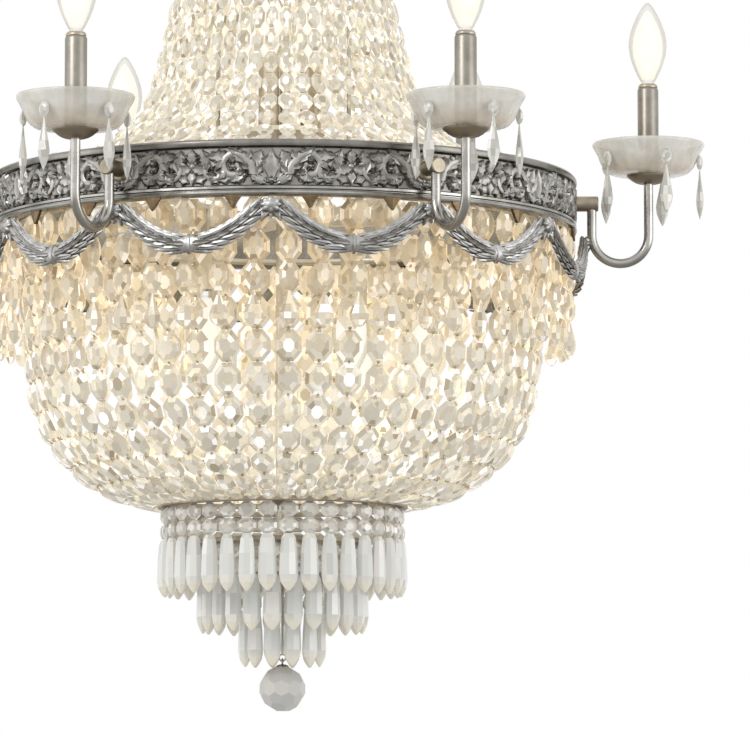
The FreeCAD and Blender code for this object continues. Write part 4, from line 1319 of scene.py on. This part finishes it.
# %% Large leaves of the frieze
LARGE_LEAVES = (
    (FROND, (0.2, 16.0, 23.0), 0.42, (3.2, 15.5, 18.0)),
    (BROAD, (0.2, 23.0, 29.0), -0.78, (3.3, 13.5, 17.0)),
    (FROND, (0.4, 35.0, 33.0), -1.50, (3.6, 13.0, 22.0)),
    (SLIM, (0.4, 40.0, 27.0), -0.80, (3.2, 12.0, 17.0)),
    (BROAD, (0.2, 24.5, 24.0), -2.75, (3.2, 13.0, 13.5)),
    (FROND, (0.2, 22.0, 18.0), -1.95, (3.0, 11.0, 16.0)),
    (SLIM, (0.2, 34.0, 17.0), -1.85, (3.0, 11.0, 15.0)),
    (FROND, (0.4, 55.0, 24.0), -0.28, (3.4, 14.0, 17.0)),
    (BROAD, (0.3, 57.0, 21.0), -1.30, (3.2, 12.5, 13.5)),
    (SLIM, (0.3, 57.0, 17.0), -2.00, (3.0, 10.0, 12.0)),
    (SLIM, (0.2, 46.0, 17.0), -2.35, (3.0, 9.5, 9.5)),
)


def frieze_part():
    """Palm leaf, stalks and small leaves, flowers, large leaves, and the flower where two parts meet."""
    work = Ornament()
    work.add(BROAD, (0.4, 0, 13.0), (0, 0, 0), (3.4, 16.0, 27.5))
    work.both(SLIM, (0.2, 2.5, 12.0), (-0.48, 0, 0), (3.1, 14.0, 26.5))
    work.both(SLIM, (0.1, 4.0, 11.6), (-1.05, 0, 0), (2.8, 12.5, 20.0))
    work.add(rosette(6), (0.8, 0, 13.4), (0, 0, 0), (4.2, 13.0, 8.5))
    add_stalks(work)
    work.both(rosette(5), (0.8, 33.5, 25.5), (0, 0, 0), (4.6, 9.5, 9.5))
    work.both(rosette(5), (0.6, 52.5, 24.5), (0, 0, 0), (4.0, 7.0, 7.0))
    for shape, place, tilt, size in LARGE_LEAVES:
        work.both(shape, place, (tilt, 0, 0), size)
    work.add(rosette(8), (0.8, 69, 26.0), (0, 0, 0), (4.6, 14.5, 14.5))
    work.add(BROAD, (0.2, 69, 29.0), (0, 0, 0), (3.2, 12.5, 12.0))
    work.add(SLIM, (0.2, 69, 22.5), (math.pi, 0, 0), (3.0, 11.0, 12.5))
    return work.wrapped("frieze_part", 0.2645, BAND_LEVEL)


frieze = round_the_stem("frieze_leaves", AT_PLACE, frieze_part(), 12, ORNAMENT, seed=23)
keep(frieze, "fixture", "nickel")

# %% [markdown]
# ## Garlands
# A garland is a sheaf of long leaves that sags between two knots and is thickest in its middle. A ridged
# core gives it body. Leaves overlap along it like tiles, in rows above, in front and below, with a ribbon
# round it here and there. The knots are flowers with leaves that fall to both sides.

# %% The garland's line
KNOTS = 12
SWAG_RADIUS = 0.2735
GARLAND_WRAP = 0.2690
HALF_TURN = math.pi / KNOTS - 0.006 / SWAG_RADIUS


def swag_point(share):
    """The garland's centre in millimetres, at -1 and 1 its ends. It is flat: X out, Y along, Z up."""
    return Vector((4.5, HALF_TURN * share * SWAG_RADIUS / MM, -5.2 - 36.8 * (1 - share**2)))


def swag_height(share):
    return 4.4 + 4.2 * (1 - share**2)


def swag_frame(share):
    ahead = (swag_point(min(share + 0.01, 1.01)) - swag_point(max(share - 0.01, -1.01))).normalized()
    out = Vector((1, 0, 0))
    return swag_point(share), ahead, out.cross(ahead), out


print("a garland sags", round(swag_point(1).z - swag_point(0).z, 1), "mm")


# %% Core and ribbons of a garland
def swag_core():
    """The ridged body, with ridges that wind round it."""
    steps, sides = 30, 18
    rings = []
    for step in range(steps + 1):
        share = -1 + 2 * step / steps
        centre, _, above, out = swag_frame(share)
        high = swag_height(share) * 0.86
        deep = 2.1 + 1.6 * (1 - share**2)
        ring = []
        for side in range(sides):
            angle = 2 * math.pi * side / sides
            ridge = 1 + 0.10 * math.cos(6 * angle + 14 * share)
            outward = out * (deep * ridge * math.cos(angle))
            ring.append(centre + outward + above * (high * ridge * math.sin(angle)))
        rings.append(ring)
    return lofted(rings)


def swag_ribbon(share):
    centre, ahead, above, out = swag_frame(share)
    sides = 16
    rings = []
    for offset, grow in ((-1.6, 0.90), (-1.1, 1.03), (1.1, 1.03), (1.6, 0.90)):
        high = swag_height(share) * grow
        deep = (3.0 + 1.5 * (1 - share**2)) * grow
        ring = []
        for side in range(sides):
            angle = 2 * math.pi * side / sides
            outward = out * (deep * math.cos(angle))
            ring.append(centre + ahead * offset + outward + above * (high * math.sin(angle)))
        rings.append(ring)
    return lofted(rings)


print("faces of a ribbon:", len(swag_ribbon(0.0)[1]))


# %% One leaf on the garland
def swag_leaf(shape, share, around, length, width, away):
    """A leaf that lies on the garland, around it by an angle from its front, and points up its slope."""
    centre, ahead, above, out = swag_frame(share)
    normal = (out * math.cos(around) + above * math.sin(around)).normalized()
    along = ahead * away
    side = along.cross(normal).normalized()
    deep = 2.0 + 1.4 * (1 - share**2)
    foot = centre + out * (deep * math.cos(around)) + above * (swag_height(share) * 0.80 * math.sin(around))
    tilt = (along + normal * 0.10).normalized()
    rise = side.cross(tilt).normalized()
    if rise.dot(normal) < 0:
        rise = -rise
    vertices, faces = shape
    moved = [foot + rise * (v[0] * 1.7) + side * (v[1] * width) + tilt * (v[2] * length) for v in vertices]
    return moved, faces


print("faces of a garland leaf:", len(leaf(1, 0.25, rows=6)[1]))

# %% Garland between two knots
LEAF_ROWS = ((0.0, 0.0), (0.72, 0.5), (-0.72, 0.5), (1.35, 0.0), (-1.35, 0.0))
LEAF_LENGTH = 17.0
LEAF_LIMIT = 0.83
RIBBONS = (0.0, 0.42, -0.42, 0.84, -0.84)


def garland():
    """Core, five rows of leaves that point from the middle to both ends, and ribbons."""
    work = Ornament()
    work.add(swag_core())
    shape = leaf(1, 0.25, rows=6)
    for around, shift in LEAF_ROWS:
        for step in range(7):
            for away in (1, -1):
                share = (0.06 + (step + shift) * 0.135) * away
                if abs(share) > LEAF_LIMIT:
                    continue
                width = 6.2 if abs(around) < 1 else 5.0
                work.add(swag_leaf(shape, share, around, LEAF_LENGTH, width, away))
    for share in RIBBONS:
        work.add(swag_ribbon(share))
    return work.wrapped("garland_part", GARLAND_WRAP, BAND_LEVEL, sharp=42)


between_knots = math.pi / KNOTS
garlands = round_the_stem(
    "leaf_garlands", AT_PLACE, garland(), KNOTS, GARLAND_NICKEL, first=between_knots, seed=25
)
keep(garlands, "fixture", "nickel", "garland_swags")

# %% [markdown]
# A knot is a domed flower where two garlands meet, with leaves that fall to both sides of it. It is made
# flat and wrapped, as the frieze is. Beside each knot two small lugs hang from the lower rim.

# %% Knots
def boss(petals):
    """A domed flower one unit across that faces along X, with shallow petals round its edge."""
    profile = [
        (0, -0.2), (0.5, -0.2), (0.5, 0.12), (0.44, 0.34), (0.30, 0.50), (0.24, 0.46), (0.14, 0.60),
        (0, 0.66),
    ]
    vertices, faces = turned(profile, petals * 6, lobes=petals, lobe_depth=0.09, flute_from=0.28)
    return [(z, y, x) for x, y, z in vertices], faces


def knot():
    work = Ornament()
    for turn, length in ((2.25, 21.0), (2.72, 17.0), (1.80, 15.0)):
        work.both(leaf(2, 0.8), (4.6, 1.5, -8.0), (-turn, 0, 0), (3.6, 10.0, length))
    work.add(leaf(2, 0.5), (5.0, 0, -10.0), (math.pi, 0, 0), (3.4, 10.0, 11.0))
    work.add(boss(8), (9.0, 0, -9.6), (0, 0, 0), (5.6, 18.0, 15.0))
    return work.wrapped("knot_part", GARLAND_WRAP, BAND_LEVEL)


knots = round_the_stem("garland_flowers", AT_PLACE, knot(), KNOTS, GARLAND_NICKEL, seed=27)
keep(knots, "fixture", "nickel", "garland_knots")


# %% Lugs of the lower rim
def lug():
    """A small lug that hangs from the band's lower rim: a rounded triangle, point down."""
    outline = ((-2.2, -1), (0.4, -1), (1.1, 0), (0.4, 1), (-2.2, 1))
    rings = []
    for level, half in ((0.6, 7.4), (-1.6, 6.8), (-4.2, 4.8), (-7.4, 2.9), (-9.6, 1.7), (-10.8, 0.7)):
        rings.append([(out, side * half, level) for out, side in outline])
    work = Ornament()
    for side in (-33.5, 33.5):
        work.add(lofted(rings), (0, side, 0))
    return work.wrapped("lug_part", 0.2675, BAND_LEVEL, smooth=False)


lugs = round_the_stem("rim_lugs", AT_PLACE, lug(), KNOTS, AGED_BRASS, seed=28)
keep(lugs, "fixture", "nickel")

# %% [markdown]
# ## Arms
# Six arms carry glass cups and candles. Each piece of an arm is made once, where the first arm has it, and
# repeated six times. The tubes are swept, and the pan, the cup, the sleeve and the bulb are turned.

# %% Arm tubes
ARMS = 6
TUBE_RADIUS = 0.0043
LEG = 0.2825
CANDLE = 0.3345
BEND_LEVEL = BAND_LEVEL - 0.0012
BEND = 0.026
PAN_LEVEL = BAND_LEVEL + 0.0462


def bend_points(centre, first, last, steps, radius):
    """Points on an arc in the XZ plane round a centre, from one angle to another."""
    spots = []
    for step in range(steps + 1):
        angle = first + (last - first) * step / steps
        spots.append((centre[0] + radius * math.cos(angle), 0, centre[1] + radius * math.sin(angle)))
    return spots


def tube_line():
    line = [(LEG, 0, BAND_LEVEL + 0.0278), (LEG, 0, BEND_LEVEL + 0.006)]
    line += bend_points(((LEG + CANDLE) / 2, BEND_LEVEL), math.pi, 2 * math.pi, 28, BEND)
    line += [(CANDLE, 0, BEND_LEVEL + 0.006), (CANDLE, 0, PAN_LEVEL)]
    return line


tube_points = tube_line()
tube_piece = swept(tube_points, [TUBE_RADIUS] * len(tube_points), 20)
tubes = round_the_stem("arm_tubes_smooth", AT_PLACE, tube_piece, ARMS, CHROME, smooth=True)
keep(tubes, "fixture", "nickel", "arm_tubes")

# %% [markdown]
# The pan is a thin spun dish with a rolled edge, and its section is turned closed, wall and all.

# %% Drip pans
AT_CANDLE = [((CANDLE, 0, PAN_LEVEL), (0, 0, 0), (MM, MM, MM))]
PAN_SECTION = [
    (3.45, 0), (7.4, -0.1), (9, 0), (12, 1.0), (15.4, 3.0), (18.2, 5.4), (19.8, 6.7), (20, 7.5), (19.4, 8),
    (18.2, 7.5), (15.0, 4.8), (11.5, 2.8), (9, 1.8), (5, 1.7), (5, 8), (3.45, 8),
]
pan_piece = turned(PAN_SECTION, 56)
pans = round_the_stem("pans_turned", AT_CANDLE, pan_piece, ARMS, BROWN_NICKEL, smooth=True, sharp=50)
keep(pans, "fixture", "nickel", "drip_pans")

# %% [markdown]
# The glass cup is turned too, and 24 flutes press its wall in. They fade out under the lip, so that the lip
# stays round, as on pressed glass.

# %% Glass cups
AT_CUP = [((CANDLE, 0, PAN_LEVEL + 0.008), (0, 0, 0), (MM, MM, MM))]
CUP_SECTION = [
    (3.45, 0), (30, 0), (34, 0.7), (38.4, 3.0), (41.8, 7.0), (44.3, 12), (46, 16.9), (47.8, 20.5),
    (49.9, 23.8), (51.2, 26.2), (51.4, 27.9), (50.7, 29.2), (49.2, 29.5), (47.9, 28.6), (46.4, 25.6),
    (44.2, 21.8), (42.4, 17.2), (40.8, 12.6), (38.0, 8.0), (34.8, 5.2), (30, 3.6), (3.45, 3.6),
]
cup_piece = turned(CUP_SECTION, 144, flutes=24, flute_depth=1.3, flute_from=31)
cups = round_the_stem("cups_fluted", AT_CUP, cup_piece, ARMS, CUP_GLASS, smooth=True, sharp=60, seed=31)
keep(cups, "fixture", "cup_glass", "glass_cups")

# %% [markdown]
# The candle sleeve is a plain tube that is rounded at its top, with a small collar round the lamp's base.

# %% Candle sleeves
SLEEVE_SECTION = [(7.9, 0), (9.6, 0), (9.6, 74.6), (9.2, 76.0), (8.6, 76.9), (7.9, 77.3)]
COLLAR_SECTION = [(7.4, 0), (8.7, 0), (8.9, 0.9), (8.6, 2.2), (7.6, 3.4), (7.4, 3.4)]
AT_SLEEVE = [((CANDLE, 0, PAN_LEVEL + 0.0116), (0, 0, 0), (MM, MM, MM))]
AT_SLEEVE_TOP = [((CANDLE, 0, PAN_LEVEL + 0.0886), (0, 0, 0), (MM, MM, MM))]
sleeve_piece, collar_piece = turned(SLEEVE_SECTION, 40), turned(COLLAR_SECTION, 32)
sleeves = round_the_stem("sleeves_turned", AT_SLEEVE, sleeve_piece, ARMS, SLEEVE_NICKEL, smooth=True)
keep(sleeves, "fixture", "nickel", "candle_sleeves")
collars = round_the_stem("sleeve_collars", AT_SLEEVE_TOP, collar_piece, ARMS, BROWN_NICKEL, smooth=True)
keep(collars, "fixture", "nickel")

# %% [markdown]
# ## Bulbs
# A candle bulb is a clear flame of glass with a white light in its middle that hides the filament. The
# envelope is a turned mesh that lets part of the light through, and the light is a smaller turned mesh
# inside it. Each arm's bulb unscrews, so both ride on that bulb's own body.

# %% Bulbs
BULB_SECTION = [
    (0, 0), (5.9, 0), (5.9, 22.6), (6.8, 23.2), (9.0, 27.2), (11.8, 33), (14.4, 39.6), (16.5, 47), (17.5, 55),
    (17.2, 61.5), (15.8, 68.5), (13.2, 76), (9.9, 83.4), (6.2, 90), (3.4, 93.9), (1.4, 95.7), (0, 96),
]
CORE_SECTION = [
    (0, 24.0), (5.2, 24.4), (7.6, 30), (11.0, 38), (13.2, 47), (13.8, 55), (13.0, 63), (10.6, 71.5),
    (7.2, 79), (3.8, 85), (1.4, 88), (0, 88.6),
]
BULB_SEAT = 0.0719
INNER_REACH = 0.025


def bulbs(name, place, tilt, copies, body, node, first=0.0):
    """Envelope and light of a ring of bulbs, from the place of the first one."""
    row = [(place, (tilt, 0, 0), (MM, MM, MM))]
    envelope, light = turned(BULB_SECTION, 32), turned(CORE_SECTION, 24)
    glass = round_the_stem(f"{name}_glass", row, envelope, copies, LAMP_ENVELOPE, 0, first, smooth=True)
    core = round_the_stem(f"{name}_light", row, light, copies, LAMP_LIGHT, 0, first, smooth=True)
    keep(glass, body, "lamp_glass", node)
    keep(core, body, "lamp_glass")


for index in range(ARMS):
    lamp = f"arm_bulb_{index + 1}"
    seat = (CANDLE, 0, PAN_LEVEL + BULB_SEAT)
    bulbs(f"bulb_{index + 1}", seat, 0, 1, lamp, lamp, 2 * math.pi * index / ARMS)
bulbs("tent_bulbs", (INNER_REACH, 0, BAND_LEVEL + 0.137), 0, 3, "fixture", "inner_bulbs")
bulbs("basket_bulbs", (LAMP_RING, 0, BAND_LEVEL - 0.047), math.pi, 6, "fixture", "hanging_bulbs")

# %% [markdown]
# ## Pendants on the cups
# Five strings hang under each cup's lip: a small octagon and an almond-shaped drop. On each cup two of them
# swing on their hooks as bodies of their own, so these are made one by one and the rest in one piece.

# %% Pendants
ALMOND = [
    (-1.0, 0, 0), (-0.92, 0.17, 0.17), (-0.76, 0.42, 0.42), (-0.62, 0.50, 0.50), (-0.44, 0.40, 0.40),
    (-0.20, 0.20, 0.20), (0, 0.07, 0.07),
]
PENDANT_REACH = 0.047
PENDANT_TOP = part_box("pendant_1_left")[1][2]
OCTAGON_SIZE = (0.0055, 0.0105, 0.0140)
DROP_SIZE = (0.0072, 0.0125, 0.0455)


def pendant_places(angles):
    """Where the octagons and the drops of the first cup hang, at angles round it in degrees."""
    octagons, drops = [], []
    for degrees in angles:
        turn = math.radians(degrees)
        x = CANDLE + PENDANT_REACH * math.cos(turn)
        y = PENDANT_REACH * math.sin(turn)
        octagons.append(((x, y, PENDANT_TOP - OCTAGON_SIZE[2] / 2), (0, 0, turn), OCTAGON_SIZE))
        drops.append(((x, y, PENDANT_TOP - OCTAGON_SIZE[2] - 0.0002), (0, 0, turn), DROP_SIZE))
    return octagons, drops


def pendants(name, angles, copies, first, body, seed, *nodes):
    octagons, drops = pendant_places(angles)
    glass, drop = PENDANT_CRYSTAL, stacked(ALMOND, 8)
    top = round_the_stem(f"{name}_octagons", octagons, button(), copies, glass, 0.1, first, seed)
    foot = round_the_stem(f"{name}_drops", drops, drop, copies, glass, 0.1, first, seed + 1)
    keep(top, body, "crystal", *nodes)
    keep(foot, body, "crystal")


pendants("cup_strings", (-144, 0, 144), ARMS, 0.0, "fixture", 41, "cup_pendants")
for index in range(ARMS):
    for side, degrees in (("left", -72), ("right", 72)):
        name = f"pendant_{index + 1}_{side}"
        pendants(f"{name}_cut", (degrees,), 1, 2 * math.pi * index / ARMS, name, 50 + index * 4, name)

# %% [markdown]
# ## The crown
# The crown is a turned ring like the band, with a row of leaves on it and small flowers between them. It
# lies above the photograph's edge, so its ornament repeats the band's at a smaller size.

# %% Crown ring
CROWN_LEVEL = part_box("crown_ring")[0][2]
CROWN_SECTION = [
    (78, 0), (82, 0), (83.6, 0.8), (84, 2.4), (83.4, 4.4), (82.0, 5.6), (81, 6), (81, 28), (82.2, 28.5),
    (83.8, 29.6), (84, 31.6), (83.2, 33.4), (81.8, 34), (78, 34),
]
crown_place = [((0, 0, CROWN_LEVEL), (0, 0, 0), (MM, MM, MM))]
crown_piece = turned(CROWN_SECTION, 96)
crown = round_the_stem("crown_shell", crown_place, crown_piece, 1, NICKEL, smooth=True, sharp=30)


def in_crown_recess(face):
    x, y, z = face.center
    return 0.006 < z - CROWN_LEVEL < 0.0285 and math.hypot(x, y) > 0.0795


# The crown's recess is painted dark as well: shade behind the leaves, with some patina.
shade_faces(crown, PATINA_AND_SHADE, in_crown_recess)
keep(crown, "fixture", "nickel", "crown_ring")


# %% Leaves and flowers of the crown
def crown_part():
    work = Ornament()
    work.add(leaf(3, 0.4), (0.1, 0, 6.4), (0, 0, 0), (2.2, 14.0, 21.0))
    work.both(leaf(2, 0.2), (0.1, 3.0, 7.0), (-0.85, 0, 0), (2.0, 7.0, 13.0))
    work.add(rosette(6), (0.3, 11.0, 20.0), (0, 0, 0), (2.6, 7.0, 7.0))
    return work.wrapped("crown_part", 0.081, CROWN_LEVEL)


crown_leaves = round_the_stem("crown_leaves", AT_PLACE, crown_part(), 24, ORNAMENT, seed=61)
keep(crown_leaves, "fixture", "nickel")

# %% [markdown]
# Three more candles stand inside the tent, where the strands let them show as shadows and a glow. Their
# sleeves are short tubes like those of the arms.

# %% Inner candles
INNER_SLEEVE = [(7.9, 0), (9.6, 0), (9.6, 55.6), (9.2, 57.0), (8.6, 57.8), (7.9, 58)]
inner_place = [((INNER_REACH, 0, BAND_LEVEL + 0.096), (0, 0, 0), (MM, MM, MM))]
inner_piece = turned(INNER_SLEEVE, 32)
inner = round_the_stem("inner_sleeves_turned", inner_place, inner_piece, 3, BROWN_NICKEL, smooth=True)
keep(inner, "fixture", "nickel", "inner_sleeves")

# %% [markdown]
# ## Finishes of the pieces that stay
# The rings, bars, rods, brackets and holders are already the right shape. Modelling them again would add
# nothing, so they keep their meshes and only take a finish.

# %% Metal that stays
def dress(obj, material):
    """A CAD node keeps its mesh and takes a finish."""
    for slot in obj.material_slots:
        slot.material = material


for node in ("top_loop", "crown_spider", "lamp_holders", "inner_holders", "tie_rods"):
    dress(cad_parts[node], NICKEL)
for node in ("centre_stem", "band_spider", "strand_ring", "candle_plate", "hanging_holders", "finial_hook"):
    dress(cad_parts[node], INNER_NICKEL)
for node in ("floor_ring", "second_ring", "third_ring", "arm_brackets"):
    dress(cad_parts[node], BROWN_NICKEL)
